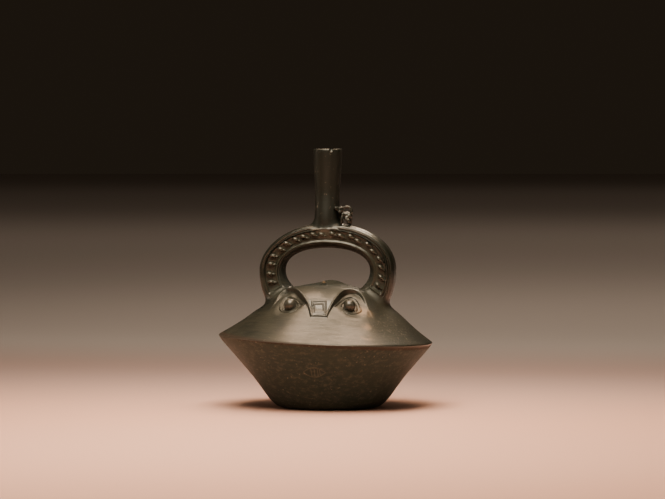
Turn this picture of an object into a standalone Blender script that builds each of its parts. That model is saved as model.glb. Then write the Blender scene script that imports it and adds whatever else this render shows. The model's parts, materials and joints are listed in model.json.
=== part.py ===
"""Stirrup-spout bottle of burnished black clay: one fired piece, hollow from its mouth to its floor.

Metres, +Z up. The origin is the middle of the flat underside, the face on the upper shell looks
along -Y, and +X is on the right of someone who stands in front of it.
"""
import math

import bmesh
import bpy
from mathutils import Matrix, Vector

NODE = "stirrup_spout_vessel"
MM = 0.001

# Clay walls
BODY_WALL = 4.5 * MM
TUBE_WALL = 4.0 * MM
SPOUT_WALL = 2.6 * MM

# Lower bowl: radius and height of the outside, from the flat foot to past the rim
BOWL_PROFILE = [
    (38.0 * MM, 0.0),
    (41.2 * MM, 0.9 * MM),
    (43.7 * MM, 2.6 * MM),
    (48.5 * MM, 7.2 * MM),
    (56.8 * MM, 18.6 * MM),
    (62.5 * MM, 26.2 * MM),
    (83.4 * MM, 50.7 * MM),
    (95.4 * MM, 64.8 * MM),
]
RIM_SOFTENING = 0.7 * MM

# Upper shell: an ogee turned about an axis that leans to +X, its heights counted from the rim
SHELL_FOOT = 54.4 * MM
SHELL_LEAN = math.radians(3.5)
SHELL_PROFILE = [
    (0.0, 49.1 * MM),
    (5.0 * MM, 48.5 * MM),
    (11.0 * MM, 46.5 * MM),
    (30.0 * MM, 41.5 * MM),
    (44.0 * MM, 34.3 * MM),
    (58.0 * MM, 23.1 * MM),
    (72.0 * MM, 11.7 * MM),
    (88.0 * MM, 0.8 * MM),
    (100.0 * MM, -6.8 * MM),
]

# Stirrup: an arch in the XZ plane between an outer and an inner curve, a little left of the foot's axis.
# A curve's two powers square its right and its left shoulder; below the widest level it is an ellipse.
ARCH_OFFSET = -1.0 * MM
ARCH_LEVEL = 111.0 * MM
ARCH_OUTER = {"half_width": 55.7 * MM, "rise": 38.7 * MM, "drop": 55.5 * MM, "powers": (2.15, 1.93)}
ARCH_INNER = {"half_width": 35.1 * MM, "rise": 18.6 * MM, "drop": 22.5 * MM, "powers": (2.22, 2.22)}
ARCH_END = math.radians(44.0)
ARCH_BORE_END = math.radians(52.0)
TUBE_HALF_DEPTH = 12.8 * MM
FOOT_FLARE = 2.6 * MM
OUTER_POWER = 3.4           # squareness of the tube's outer half
INNER_POWER = 2.2           # squareness of the half towards the opening
BAND_HALF = 0.42            # half width of the sunk front band, as a share of the tube's half width
BAND_FACE = 0.93            # where the band would lie unsunk, as a share of the tube's half depth
BAND_SINK = 0.9 * MM
BAND_END = math.radians(33.0)
BAND_FADE = math.radians(4.0)
BEAD_HALF = 0.08            # half width of a bead beside the band, as a share of the tube's half width
BEAD_HEIGHT = 0.6 * MM
RIB_SHARES = (0.78, 0.91)   # ribs along the outer side, as shares of the tube's half width
RIB_PITCH = 0.11            # from a rib to the groove before it, as such a share
GROOVE_DEPTH = 0.5 * MM

# Spout: outer radius at a height
SPOUT_PROFILE = [
    (12.6 * MM, 142.5 * MM),
    (10.9 * MM, 147.5 * MM),
    (10.2 * MM, 152.0 * MM),
    (10.2 * MM, 176.0 * MM),
    (11.4 * MM, 200.0 * MM),
    (11.6 * MM, 209.2 * MM),
    (10.9 * MM, 210.0 * MM),
]
SPOUT_FOOT_X = -1.6 * MM
SPOUT_MOUTH_X = -1.0 * MM
SPOUT_BORE_FOOT = 138.0 * MM

# Flakes lost from the lip: azimuth to the right of the front in degrees, half width, depth
CHIPS = {"front": (24.0, 2.2 * MM, 3.4 * MM), "side": (73.0, 1.2 * MM, 1.0 * MM)}
CHIP_REACH = 12.2 * MM      # from the spout's middle to the middle of a chip

# Face on the front of the upper shell, in plan (X, Y) from its own middle line, in millimetres
FACE_OFFSET = -1.0
EYES = {
    "left": {
        "ball": (-22.9, -44.0),
        "lid": [(-11.4, -47.6), (-17.0, -40.8), (-24.2, -32.4), (-30.2, -33.4), (-31.8, -41.0),
                (-27.0, -48.4), (-19.2, -50.8)],
        "brow": [(-3.3, -61.6), (-4.6, -55.8), (-9.5, -46.5), (-17.4, -34.3), (-24.8, -24.0), (-31.0, -22.2),
                 (-36.0, -29.3), (-39.6, -35.0)],
    },
    "right": {
        "ball": (25.1, -42.4),
        "lid": [(14.8, -46.6), (17.6, -39.8), (23.4, -31.4), (30.4, -32.4), (34.0, -39.4), (30.6, -46.0),
                (22.6, -49.2)],
        "brow": [(10.2, -60.6), (10.5, -54.6), (13.3, -46.6), (17.0, -35.2), (21.4, -27.4), (27.2, -23.8),
                 (33.6, -27.8), (39.4, -35.4)],
    },
}
EYE_BALL = 5.3 * MM
BROW_RISE = 2.4 * MM
BROW_WIDTH = 10.0           # millimetres from the sheer edge to where the forehead is flush again
BROW_STATIONS = 18
LID_RISE = 0.8 * MM
LID_HALF = 0.6              # half the width of a lid's crest, in millimetres
LID_SPREAD = 0.3            # how much wider it is at its root, each way
LID_ROOT = 2.8 * MM
LID_STATIONS = 16
SOCKET_RADII = (13.0 * MM, 14.0 * MM, 4.0 * MM)
SOCKET_DEPTH = 1.5 * MM
SOCKET_UPHILL = 4.0 * MM    # from the ball's middle to the socket's
NOSE_PLAN = (3.0, -55.0)
NOSE_SIZE = (13.4, 12.8)
NOSE_PAD = (8.4, 7.8)
NOSE_RISE = 2.6 * MM
NOSE_STEP = 0.9 * MM        # how far the pad stands proud of the block under it
NUB_PLAN = (0.4, -19.9)
NUB_RADIUS = 3.6
NUB_RISE = 2.9 * MM

# Figures in the sunk band, spaced along the middle of the tube
FIGURES = 10
FIGURE_SPACING = 14.7 * MM
FIGURE_START = -1.5 * MM    # how far the row's middle lies from the arch's top, towards the left foot
FIGURE_ENDS = 3.5 * MM      # from a figure's middle to its head or its tail
FIGURE_SHIFT = 0.2          # how far the row moves outwards at the arch's top, as a share of the half width
FIGURE_TIP_SHARE = 0.24     # how far head and tail lie outwards of the body, as such a share
FIGURE_BODY = (3.6 * MM, 1.3 * MM, 2.1 * MM)    # half lengths along the band, out of it and across it
FIGURE_TIP = (1.7 * MM, 1.6 * MM, 1.7 * MM)

# Monkey on all fours on the arch, a hand on the right of the spout and its tail curled over its back. Its
# lumps (middle, radii) and the middle line of each limb (points, radii) are in millimetres.
MONKEY_LUMPS = {
    "chest": ((11.8, -3.8, 156.4), (3.2, 3.2, 3.4)),
    "back": ((14.6, -3.2, 156.6), (4.2, 3.1, 2.9)),
    "rump": ((17.0, -3.1, 155.4), (2.7, 3.2, 3.0)),
    "head": ((10.4, -5.8, 160.6), (2.8, 2.8, 3.2)),
    "muzzle": ((10.2, -8.0, 158.7), (1.6, 1.5, 1.6)),
}
MONKEY_LIMBS = {
    "hand": ([(10.4, -5.0, 158.2), (8.4, -7.2, 160.4), (5.9, -8.8, 162.9)], (1.7, 1.4, 1.3)),
    "front_leg": ([(11.6, -5.2, 156.4), (11.4, -6.2, 153.0), (10.4, -6.6, 148.8)], (1.8, 1.5, 1.3)),
    "front_haunch": ([(17.2, -4.8, 155.0), (14.9, -6.2, 153.4), (17.6, -6.4, 151.4), (15.8, -6.6, 148.8)],
                     (2.1, 1.7, 1.4, 1.2)),
    "back_leg": ([(11.4, -2.4, 156.4), (10.6, -0.6, 153.0), (10.8, 0.2, 148.8)], (1.8, 1.5, 1.4)),
    "back_haunch": ([(17.0, -2.0, 155.0), (17.6, 0.4, 152.0), (17.2, 0.8, 148.0)], (2.2, 1.7, 1.5)),
    "tail": ([(17.6, -3.0, 156.6), (18.9, -3.0, 158.6), (18.4, -3.0, 160.8), (16.8, -3.1, 162.6),
              (14.7, -3.3, 163.1), (13.4, -3.5, 162.1), (13.6, -3.6, 160.8)],
             (1.4, 1.3, 1.2, 1.1, 1.1, 1.0, 0.9)),
}

# Fineness of the facets
BODY_STEPS = 64
CHAMBER_STEPS = 32
ARCH_STATIONS = 31
BORE_STATIONS = 21
SPOUT_STEPS = 24
PROUD = 1.0 * MM           # how far a cutter runs past what it cuts
SUNK = 1.2 * MM            # how deep an added piece of clay roots in the wall

CLAY_COLOUR = (0.035, 0.030, 0.022, 1.0)
CLAY_ROUGHNESS = 0.42


def clear_scene():
    """Take away every object that the file already holds."""
    for item in list(bpy.data.objects):
        bpy.data.objects.remove(item, do_unlink=True)


def curve_value(points, x):
    """Value at x of the smooth curve through (x, y) points whose x rises."""
    last = len(points) - 1
    index = 0
    while index < last - 1 and x > points[index + 1][0]:
        index += 1

    def slope(i):
        before = points[max(i - 1, 0)]
        after = points[min(i + 1, last)]
        return (after[1] - before[1]) / (after[0] - before[0])

    (x0, y0), (x1, y1) = points[index], points[index + 1]
    span = x1 - x0
    t = (x - x0) / span
    if t < 0.0:
        return y0 + slope(index) * (x - x0)
    if t > 1.0:
        return y1 + slope(index + 1) * (x - x1)
    rise = t * t * (3.0 - 2.0 * t)
    start = t * (1.0 - t) ** 2 * span
    end = t * t * (t - 1.0) * span
    return y0 + (y1 - y0) * rise + slope(index) * start + slope(index + 1) * end


def smooth_step(x):
    """0 below 0, 1 above 1, and an even S between them."""
    x = min(max(x, 0.0), 1.0)
    return x * x * (3.0 - 2.0 * x)


# ---------------------------------------------------------------- meshes

def new_object(name, mesh):
    """Object from a bmesh, its faces turned outwards."""
    bmesh.ops.recalc_face_normals(mesh, faces=mesh.faces[:])
    data = bpy.data.meshes.new(name)
    mesh.to_mesh(data)
    mesh.free()
    item = bpy.data.objects.new(name, data)
    bpy.context.scene.collection.objects.link(item)
    return item


def extrude_loop(mesh, loop, points):
    """Extrude a closed loop of vertices and move the new one to the given points."""
    edges = [mesh.edges.get((loop[i - 1], loop[i])) for i in range(len(loop))]
    grown = bmesh.ops.extrude_edge_only(mesh, edges=edges)["geom"]
    fresh = {vert for vert in grown if isinstance(vert, bmesh.types.BMVert)}
    raised = []
    for vert, point in zip(loop, points):
        partner = next(edge.other_vert(vert) for edge in vert.link_edges if edge.other_vert(vert) in fresh)
        partner.co = point
        raised.append(partner)
    return raised


def loft(name, rings):
    """Solid skinned over a stack of rings that have the same count of points."""
    mesh = bmesh.new()
    loop = [mesh.verts.new(point) for point in rings[0]]
    for i in range(len(loop)):
        mesh.edges.new((loop[i - 1], loop[i]))
    for ring in rings[1:]:
        loop = extrude_loop(mesh, loop, ring)
    open_edges = [edge for edge in mesh.edges if edge.is_boundary]
    bmesh.ops.holes_fill(mesh, edges=open_edges, sides=0)
    return new_object(name, mesh)


def lump(name, centre, radii, turn=None, fineness=2):
    """Rounded pellet of clay: an icosphere stretched to three radii."""
    mesh = bmesh.new()
    bmesh.ops.create_icosphere(mesh, subdivisions=fineness, radius=1.0)
    bmesh.ops.scale(mesh, vec=radii, verts=mesh.verts[:])
    if turn is not None:
        bmesh.ops.transform(mesh, matrix=turn.to_4x4(), verts=mesh.verts[:])
    bmesh.ops.translate(mesh, vec=centre, verts=mesh.verts[:])
    return new_object(name, mesh)


def coil(name, path, radii, sides=6):
    """Roll of clay along a path of points, with a radius at each."""
    rings = []
    turns = [2.0 * math.pi * k / sides for k in range(sides)]
    before = path[1] - path[0]
    frame = before.to_track_quat("Z", "Y").to_matrix()
    for i, point in enumerate(path):
        ahead = path[min(i + 1, len(path) - 1)] - path[max(i - 1, 0)]
        frame = before.rotation_difference(ahead).to_matrix() @ frame
        before = ahead
        rings.append([point + frame @ Vector((math.cos(a), math.sin(a), 0.0)) * radii[i] for a in turns])
    return loft(name, rings)


# ---------------------------------------------------------------- body

def bowl_radius(height):
    """Outer radius of the lower bowl at a height."""
    return curve_value([(z, r) for r, z in BOWL_PROFILE], height)


def shell_normal(radius):
    """Outward normal of the upright shell profile, as (radial, vertical)."""
    step = 0.5 * MM
    inside, outside = curve_value(SHELL_PROFILE, radius - step), curve_value(SHELL_PROFILE, radius + step)
    fall = (inside - outside) / (2.0 * step)
    return Vector((fall, 1.0)).normalized()


def shell_point(radius, azimuth, lift=0.0):
    """Point on the leaning shell at a radius and azimuth (0 in front), raised along its normal."""
    normal = shell_normal(radius)
    reach = radius + lift * normal.x
    height = curve_value(SHELL_PROFILE, radius) + lift * normal.y
    upright = Vector((reach * math.sin(azimuth), -reach * math.cos(azimuth), height))
    return Matrix.Rotation(SHELL_LEAN, 3, "Y") @ upright + Vector((0.0, 0.0, SHELL_FOOT))


def rim_radius(azimuth, wall):
    """Shell radius at which the shell meets the bowl, both drawn in by the wall."""
    low, high = 70.0 * MM, 99.0 * MM
    for _ in range(30):
        middle = 0.5 * (low + high)
        point = shell_point(middle, azimuth, -wall)
        slope = (bowl_radius(point.z + MM) - bowl_radius(point.z - MM)) / (2 * MM)
        limit = bowl_radius(point.z) - wall * math.hypot(1.0, slope)
        if math.hypot(point.x, point.y) < limit:
            low = middle
        else:
            high = middle
    return low


def body_solid(name, steps, wall, bowl_heights, bowl_shares, shell_shares):
    """Bowl and shell as one closed solid; a wall above nothing gives the chamber inside."""
    azimuths = [2.0 * math.pi * k / steps for k in range(steps)]
    rim = [shell_point(rim_radius(a, wall), a, -wall) for a in azimuths]
    heading = [math.atan2(point.x, -point.y) for point in rim]
    rings = []
    for height in bowl_heights:
        slope = (bowl_radius(height + MM) - bowl_radius(height)) / MM
        radius = bowl_radius(height) - wall * math.hypot(1.0, slope)
        floor = max(height, wall)
        rings.append([Vector((radius * math.sin(h), -radius * math.cos(h), floor)) for h in heading])
    top = max(bowl_heights)
    for share in bowl_shares:
        ring = []
        for point, h in zip(rim, heading):
            height = top + (point.z - top) * share
            radius = bowl_radius(height) - (bowl_radius(point.z) - math.hypot(point.x, point.y))
            ring.append(Vector((radius * math.sin(h), -radius * math.cos(h), height)))
        rings.append(ring)
    drawn_in = [Vector((p.x, p.y, 0.0)).normalized() * RIM_SOFTENING for p in rim]
    rings.append([point - inward for point, inward in zip(rim, drawn_in)])
    for share in shell_shares:
        rings.append([shell_point(rim_radius(a, wall) * share, a, -wall) for a in azimuths])
    return loft(name, rings)


# ---------------------------------------------------------------- stirrup

def arch_curve(angle, curve):
    """Point of one edge of the arch; 0 is its right side, 90 degrees its top."""
    across, up = math.cos(angle), math.sin(angle)
    if up < 0.0:
        return Vector((ARCH_OFFSET + curve["half_width"] * across, 0.0, ARCH_LEVEL + curve["drop"] * up))
    share = 2.0 / curve["powers"][0 if across > 0.0 else 1]
    x = math.copysign(abs(across) ** share, across) * curve["half_width"]
    return Vector((ARCH_OFFSET + x, 0.0, ARCH_LEVEL + curve["rise"] * up ** share))


def arch_frame(angle):
    """Middle of the tube, its outward direction and its half width at an angle along the arch."""
    outer, inner = arch_curve(angle, ARCH_OUTER), arch_curve(angle, ARCH_INNER)
    return (outer + inner) * 0.5, (outer - inner).normalized(), (outer - inner).length * 0.5


def arch_angles(end, count):
    """Even steps along the arch from one foot to the other."""
    return [-end + (math.pi + 2.0 * end) * i / (count - 1) for i in range(count)]


def below_level(angle):
    """How far an angle lies past the arch's widest level, towards a foot, in radians."""
    return max(-angle, angle - math.pi, 0.0)


def tube_half_depth(angle):
    """Half the tube's depth from front to back, flared at the feet."""
    return TUBE_HALF_DEPTH + FOOT_FLARE * smooth_step(below_level(angle) / ARCH_END) ** 2


def tube_face(share):
    """Share of the half depth at which the tube's surface stands, at a share of its half width."""
    power = OUTER_POWER if share > 0.0 else INNER_POWER
    return (1.0 - min(abs(share), 1.0) ** power) ** (1.0 / power)


def tube_section(angle):
    """Outline of the tube as (share of half width, depth): front band with beads, ribbed outer side."""
    depth = tube_half_depth(angle)
    shown = 1.0 - smooth_step((below_level(angle) - BAND_END) / BAND_FADE)
    floor = depth * BAND_FACE - BAND_SINK * shown
    crest_at = BAND_HALF + BEAD_HALF
    foot_at = BAND_HALF + 2.0 * BEAD_HALF
    front = [
        (-foot_at, depth * tube_face(-foot_at)),
        (-crest_at, depth * tube_face(-crest_at) + BEAD_HEIGHT * shown),
        (-BAND_HALF, floor),
        (BAND_HALF, floor),
        (crest_at, depth * tube_face(crest_at) + BEAD_HEIGHT * shown),
        (foot_at, depth * tube_face(foot_at)),
    ]
    outer_side = []
    for share in RIB_SHARES:
        groove = share - RIB_PITCH * 0.5
        outer_side.append((groove, depth * tube_face(groove) - GROOVE_DEPTH))
        outer_side.append((share, depth * tube_face(share)))
    outer_side.append((1.0, depth * 0.38))
    inner_side = [(-0.90, depth * tube_face(-0.90)), (-0.99, depth * 0.30)]
    outline = [(share, -y) for share, y in front + outer_side]
    outline += [(share, y) for share, y in reversed(front + outer_side)]
    outline += [(share, y) for share, y in inner_side]
    outline += [(share, -y) for share, y in reversed(inner_side)]
    return outline


def stirrup_ring(angle):
    """The tube's outline in place at an angle along the arch."""
    middle, outward, half_width = arch_frame(angle)
    outline = tube_section(angle)
    return [middle + outward * (share * half_width) + Vector((0.0, y, 0.0)) for share, y in outline]


def bore_ring(angle, sides=12):
    """The hollow of the tube in place at an angle along the arch."""
    middle, outward, half_width = arch_frame(angle)
    across = half_width - TUBE_WALL
    deep = tube_half_depth(angle) - TUBE_WALL
    turns = [2.0 * math.pi * k / sides for k in range(sides)]
    return [middle + outward * (across * math.cos(t)) + Vector((0.0, deep * math.sin(t), 0.0)) for t in turns]


def band_point(angle, share, lift, side):
    """Point over the sunk band on the front (side -1) or back (side 1) of the arch."""
    middle, outward, half_width = arch_frame(angle)
    floor = tube_half_depth(angle) * BAND_FACE - BAND_SINK
    return middle + outward * (share * half_width) + Vector((0.0, side * (floor + lift), 0.0))


def band_direction(angle):
    """Direction in which the band runs at an angle, from the right foot to the left one."""
    step = math.radians(1.0)
    return (arch_frame(angle + step)[0] - arch_frame(angle - step)[0]).normalized()


# ---------------------------------------------------------------- spout

def spout_middle(height):
    """Middle of the spout at a height; it leans a little to the right as it rises."""
    foot, mouth = SPOUT_PROFILE[0][1], SPOUT_PROFILE[-1][1]
    share = (height - foot) / (mouth - foot)
    return Vector((SPOUT_FOOT_X + (SPOUT_MOUTH_X - SPOUT_FOOT_X) * share, 0.0, height))


def spout_solids():
    """The spout and the bore that runs down it into the stirrup."""
    def ring(radius, height):
        turns = [2.0 * math.pi * k / SPOUT_STEPS for k in range(SPOUT_STEPS)]
        middle = spout_middle(height)
        return [middle + Vector((radius * math.cos(t), radius * math.sin(t), 0.0)) for t in turns]

    neck = loft("spout", [ring(radius, height) for radius, height in SPOUT_PROFILE])
    mouth = SPOUT_PROFILE[-1][1]
    bore_rings = [ring(SPOUT_PROFILE[2][0] - SPOUT_WALL, SPOUT_BORE_FOOT)]
    bore_rings += [ring(radius - SPOUT_WALL, height) for radius, height in SPOUT_PROFILE[2:5]]
    bore_rings += [ring(SPOUT_PROFILE[-1][0] - 0.6 * SPOUT_WALL, mouth + PROUD)]
    return neck, loft("spout_bore", bore_rings)


def mouth_chips():
    """Cutters for the flakes lost from the lip."""
    cutters = []
    for name, (azimuth, width, depth) in CHIPS.items():
        turn = math.radians(azimuth)
        outward = Vector((math.sin(turn), -math.cos(turn), 0.0))
        lip = spout_middle(SPOUT_PROFILE[-1][1]) + outward * CHIP_REACH
        cutters.append(lump("chip_" + name, lip, (width, width, depth), fineness=1))
    return cutters


# ---------------------------------------------------------------- face

def plan_point(x, y, lift=0.0):
    """Point over the shell above a place in plan, found by correcting for the shell's lean."""
    target = Vector((x, y))
    guess = Vector((x, y))
    for _ in range(8):
        point = shell_point(guess.length, math.atan2(guess.x, -guess.y), lift)
        guess += target - Vector((point.x, point.y))
    return shell_point(guess.length, math.atan2(guess.x, -guess.y), lift)


def shell_axes(x, y):
    """Right, downhill and outward directions of the shell above a place in plan."""
    right = (plan_point(x + MM, y) - plan_point(x - MM, y)).normalized()
    uphill = plan_point(x, y + MM) - plan_point(x, y - MM)
    out = right.cross(uphill).normalized()
    return right, right.cross(out), out


def face_point(x, y, lift=0.0):
    """Point over the shell at a place of the face, given in millimetres."""
    return plan_point((x + FACE_OFFSET) * MM, y * MM, lift)


def sample(plan, count):
    """Even samples of the smooth line through plan points: (share of its length, place, direction)."""
    points = [Vector(point) for point in plan]
    lengths = [0.0]
    for before, after in zip(points, points[1:]):
        lengths.append(lengths[-1] + (after - before).length)
    xs = [(s, p.x) for s, p in zip(lengths, points)]
    ys = [(s, p.y) for s, p in zip(lengths, points)]
    samples = []
    for i in range(count):
        s = lengths[-1] * i / (count - 1)
        here = Vector((curve_value(xs, s), curve_value(ys, s)))
        ahead = Vector((curve_value(xs, s + 0.5), curve_value(ys, s + 0.5)))
        samples.append((i / (count - 1), here, (ahead - here).normalized()))
    return samples


def brow(name, plan):
    """Edge of the forehead over one eye: a wedge that is sheer above the eye and eases off behind."""
    rings = []
    outer_side = math.copysign(1.0, plan[-1][0])
    for share, here, ahead in sample(plan, BROW_STATIONS):
        uphill = Vector((-ahead.y, ahead.x)) * outer_side
        fade = 1.0 - smooth_step((share - 0.78) / 0.22) * 0.85
        reach = uphill * BROW_WIDTH * (0.45 + 0.55 * smooth_step(share / 0.5)) * fade
        rise = BROW_RISE * fade
        rings.append([
            face_point(*here, -SUNK),
            face_point(*here, rise),
            face_point(*(here + reach * 0.35), rise * 0.75),
            face_point(*(here + reach), 0.0),
            face_point(*(here + reach), -SUNK),
        ])
    return loft(name, rings)


def lid(name, plan):
    """Raised line round an eye, open at the inner corner."""
    rings = []
    for _, here, ahead in sample(plan, LID_STATIONS):
        across = Vector((-ahead.y, ahead.x))
        crest, root = across * LID_HALF, across * (LID_HALF + LID_SPREAD)
        rings.append([
            face_point(*(here - root), -LID_ROOT),
            face_point(*(here - crest), LID_RISE),
            face_point(*(here + crest), LID_RISE),
            face_point(*(here + root), -LID_ROOT),
        ])
    return loft(name, rings)


def eye_parts(label, eye):
    """Socket cutter, ball and lid of one eye."""
    x, y = eye["ball"]
    frame = Matrix(shell_axes((x + FACE_OFFSET) * MM, y * MM)).transposed()
    _, downhill, out = frame.transposed()
    centre = face_point(x, y)
    hollow = centre - downhill * SOCKET_UPHILL + out * (SOCKET_RADII[2] - SOCKET_DEPTH)
    socket = lump("socket_" + label, hollow, SOCKET_RADII, frame, fineness=3)
    ball = lump("eyeball_" + label, centre, [EYE_BALL] * 3, frame, fineness=2)
    return socket, ball, lid("lid_" + label, eye["lid"])


def nose_parts():
    """Blunt nose where the brows meet: a tapering block with a square pad on it."""
    x, y = NOSE_PLAN
    parts = []
    for name, (wide, tall), foot, rise in (
            ("nose", NOSE_SIZE, -SUNK, NOSE_RISE - NOSE_STEP),
            ("nose_pad", NOSE_PAD, 0.0, NOSE_RISE)):
        rings = []
        for lift, shrink in ((foot, 1.0), (rise - 0.4 * MM, 0.94), (rise, 0.84)):
            corners = ((-1, -1), (1, -1), (1, 1), (-1, 1))
            half = Vector((wide * 0.5 * shrink, tall * 0.5 * shrink))
            rings.append([face_point(x + half.x * i, y + half.y * j, lift) for i, j in corners])
        parts.append(loft(name, rings))
    return parts


def crown_nub():
    """Small cone of clay on the crown above the nose."""
    rings = []
    for radius, lift in ((1.0, -SUNK), (1.0, 0.2 * MM), (0.45, NUB_RISE * 0.72), (0.16, NUB_RISE)):
        turns = [2.0 * math.pi * k / 10 for k in range(10)]
        reach = NUB_RADIUS * radius
        rings.append([face_point(NUB_PLAN[0] + reach * math.cos(t), NUB_PLAN[1] + reach * math.sin(t), lift)
                      for t in turns])
    return loft("crown_nub", rings)


# ---------------------------------------------------------------- small figures

def arch_angle_at(length):
    """Angle at a length along the middle of the tube, counted from its top towards the left foot."""
    step = math.radians(0.5)
    angle, run = 0.5 * math.pi, 0.0
    while run < abs(length):
        ahead = angle + math.copysign(step, length)
        run += (arch_frame(ahead)[0] - arch_frame(angle)[0]).length
        angle = ahead
    return angle


def band_figures():
    """Running birds in the front band, a plain pellet for each on the back."""
    parts = []
    for side in (-1, 1):
        for k in range(FIGURES):
            length = FIGURE_START + (k - 0.5 * (FIGURES - 1)) * FIGURE_SPACING
            angle = arch_angle_at(length)
            shift = FIGURE_SHIFT * max(math.sin(angle), 0.0)
            along = band_direction(angle)
            depthwise = Vector((0.0, 1.0, 0.0))
            frame = Matrix((along, depthwise, along.cross(depthwise))).transposed()
            body = band_point(angle, shift, 0.0, side)
            name = "figure_{}_{}".format("front" if side < 0 else "back", k)
            parts.append(lump(name, body, FIGURE_BODY, frame, fineness=1))
            if side < 0:
                for end, turn in (("head", -1.0), ("tail", 1.0)):
                    tip = arch_angle_at(length + turn * FIGURE_ENDS)
                    place = band_point(tip, shift + FIGURE_TIP_SHARE, 0.0, side)
                    parts.append(lump(name + "_" + end, place, FIGURE_TIP, frame, fineness=1))
    return parts


def monkey_parts():
    """Monkey on all fours: chest, back, rump, head, muzzle, limbs and a curled tail."""
    parts = []
    for name, (middle, radii) in MONKEY_LUMPS.items():
        parts.append(lump("monkey_" + name, Vector(middle) * MM, Vector(radii) * MM))
    for name, (line, radii) in MONKEY_LIMBS.items():
        path = [Vector(point) * MM for point in line]
        parts.append(coil("monkey_" + name, path, [radius * MM for radius in radii]))
    return parts


# ---------------------------------------------------------------- the vessel

def group(name, objects):
    """Collection of cutters or added pieces, kept out of the build by themselves."""
    collection = bpy.data.collections.new(name)
    bpy.context.scene.collection.children.link(collection)
    for item in objects:
        bpy.context.scene.collection.objects.unlink(item)
        collection.objects.link(item)
        item.hide_render = True
        item.display_type = "WIRE"
    return collection


def combine(target, collection, operation):
    """Join a group to the vessel or cut it away."""
    modifier = target.modifiers.new(collection.name, "BOOLEAN")
    modifier.operation = operation
    modifier.operand_type = "COLLECTION"
    modifier.collection = collection
    modifier.solver = "EXACT"


def clay():
    """Burnished black clay."""
    material = bpy.data.materials.new("burnished_black_clay")
    material.use_nodes = True
    shader = material.node_tree.nodes["Principled BSDF"]
    shader.inputs["Base Color"].default_value = CLAY_COLOUR
    shader.inputs["Roughness"].default_value = CLAY_ROUGHNESS
    shader.inputs["Metallic"].default_value = 0.0
    return material


def build():
    """Model the vessel: body, then what is added to it, then what is hollowed out."""
    clear_scene()
    vessel = body_solid(NODE, BODY_STEPS, 0.0, [z for _, z in BOWL_PROFILE[:6]], (0.5, 0.93),
                        (0.97, 0.88, 0.78, 0.68, 0.58, 0.48, 0.36, 0.24, 0.13, 0.05))
    chamber = body_solid("chamber", CHAMBER_STEPS, BODY_WALL, (BODY_WALL, 12.0 * MM, 26.0 * MM), (0.6,),
                         (0.85, 0.70, 0.55, 0.38, 0.20, 0.06))
    stirrup = loft("stirrup", [stirrup_ring(angle) for angle in arch_angles(ARCH_END, ARCH_STATIONS)])
    bore = loft("stirrup_bore", [bore_ring(angle) for angle in arch_angles(ARCH_BORE_END, BORE_STATIONS)])
    spout, spout_bore = spout_solids()
    sockets, face = [], nose_parts() + [crown_nub()]
    for label, eye in EYES.items():
        socket, ball, lid = eye_parts(label, eye)
        sockets.append(socket)
        face += [ball, lid, brow("brow_" + label, eye["brow"])]
    combine(vessel, group("sockets", sockets), "DIFFERENCE")
    combine(vessel, group("added_clay", [stirrup, spout] + face + monkey_parts() + band_figures()), "UNION")
    combine(vessel, group("hollow", [chamber, bore, spout_bore] + mouth_chips()), "DIFFERENCE")
    vessel.data.shade_smooth()
    vessel.data.set_sharp_from_angle(angle=math.radians(35.0))
    vessel.data.materials.append(clay())


build()
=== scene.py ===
"""Looks of the stirrup-spout bottle: the whole vessel as one finely carved piece of burnished clay.

Everything is drawn in drawing units, in which the vessel is HEIGHT tall, and the finished piece is
brought to the frame's size in metres. +Z is up, the face looks along -Y, +X is on its viewer's right.
"""
import json
import logging
import math
from contextlib import contextmanager
from dataclasses import dataclass, field
from enum import Enum
from typing import Callable, Iterable, Iterator, Sequence

import bmesh
import bpy
from mathutils import Matrix, Vector
from mathutils.kdtree import KDTree

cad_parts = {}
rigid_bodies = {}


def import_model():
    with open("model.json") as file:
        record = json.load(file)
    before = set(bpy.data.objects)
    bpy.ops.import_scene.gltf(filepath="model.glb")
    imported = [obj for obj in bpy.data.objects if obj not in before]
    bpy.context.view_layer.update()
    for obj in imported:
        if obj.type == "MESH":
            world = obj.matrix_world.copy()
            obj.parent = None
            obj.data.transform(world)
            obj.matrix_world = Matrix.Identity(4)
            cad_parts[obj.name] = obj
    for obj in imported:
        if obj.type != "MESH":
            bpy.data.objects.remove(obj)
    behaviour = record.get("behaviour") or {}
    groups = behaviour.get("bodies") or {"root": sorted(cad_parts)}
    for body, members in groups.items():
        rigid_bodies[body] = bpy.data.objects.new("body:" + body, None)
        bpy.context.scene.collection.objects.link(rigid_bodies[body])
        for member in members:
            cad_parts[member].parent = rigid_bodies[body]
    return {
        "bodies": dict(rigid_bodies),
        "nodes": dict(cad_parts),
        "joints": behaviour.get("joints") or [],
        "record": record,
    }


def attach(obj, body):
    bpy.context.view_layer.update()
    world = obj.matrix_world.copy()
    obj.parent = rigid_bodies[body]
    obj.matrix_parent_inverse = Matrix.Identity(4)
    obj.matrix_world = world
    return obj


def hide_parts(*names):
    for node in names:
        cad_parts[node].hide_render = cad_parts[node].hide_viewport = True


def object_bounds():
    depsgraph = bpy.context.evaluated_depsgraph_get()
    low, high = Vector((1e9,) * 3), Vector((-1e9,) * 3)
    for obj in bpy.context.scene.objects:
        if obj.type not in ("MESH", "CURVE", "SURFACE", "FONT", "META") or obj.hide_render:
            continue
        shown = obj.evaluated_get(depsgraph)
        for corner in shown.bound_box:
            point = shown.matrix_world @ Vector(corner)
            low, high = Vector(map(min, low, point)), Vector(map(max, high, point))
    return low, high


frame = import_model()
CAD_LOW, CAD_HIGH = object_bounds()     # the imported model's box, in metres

log = logging.getLogger("vessel")

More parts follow.
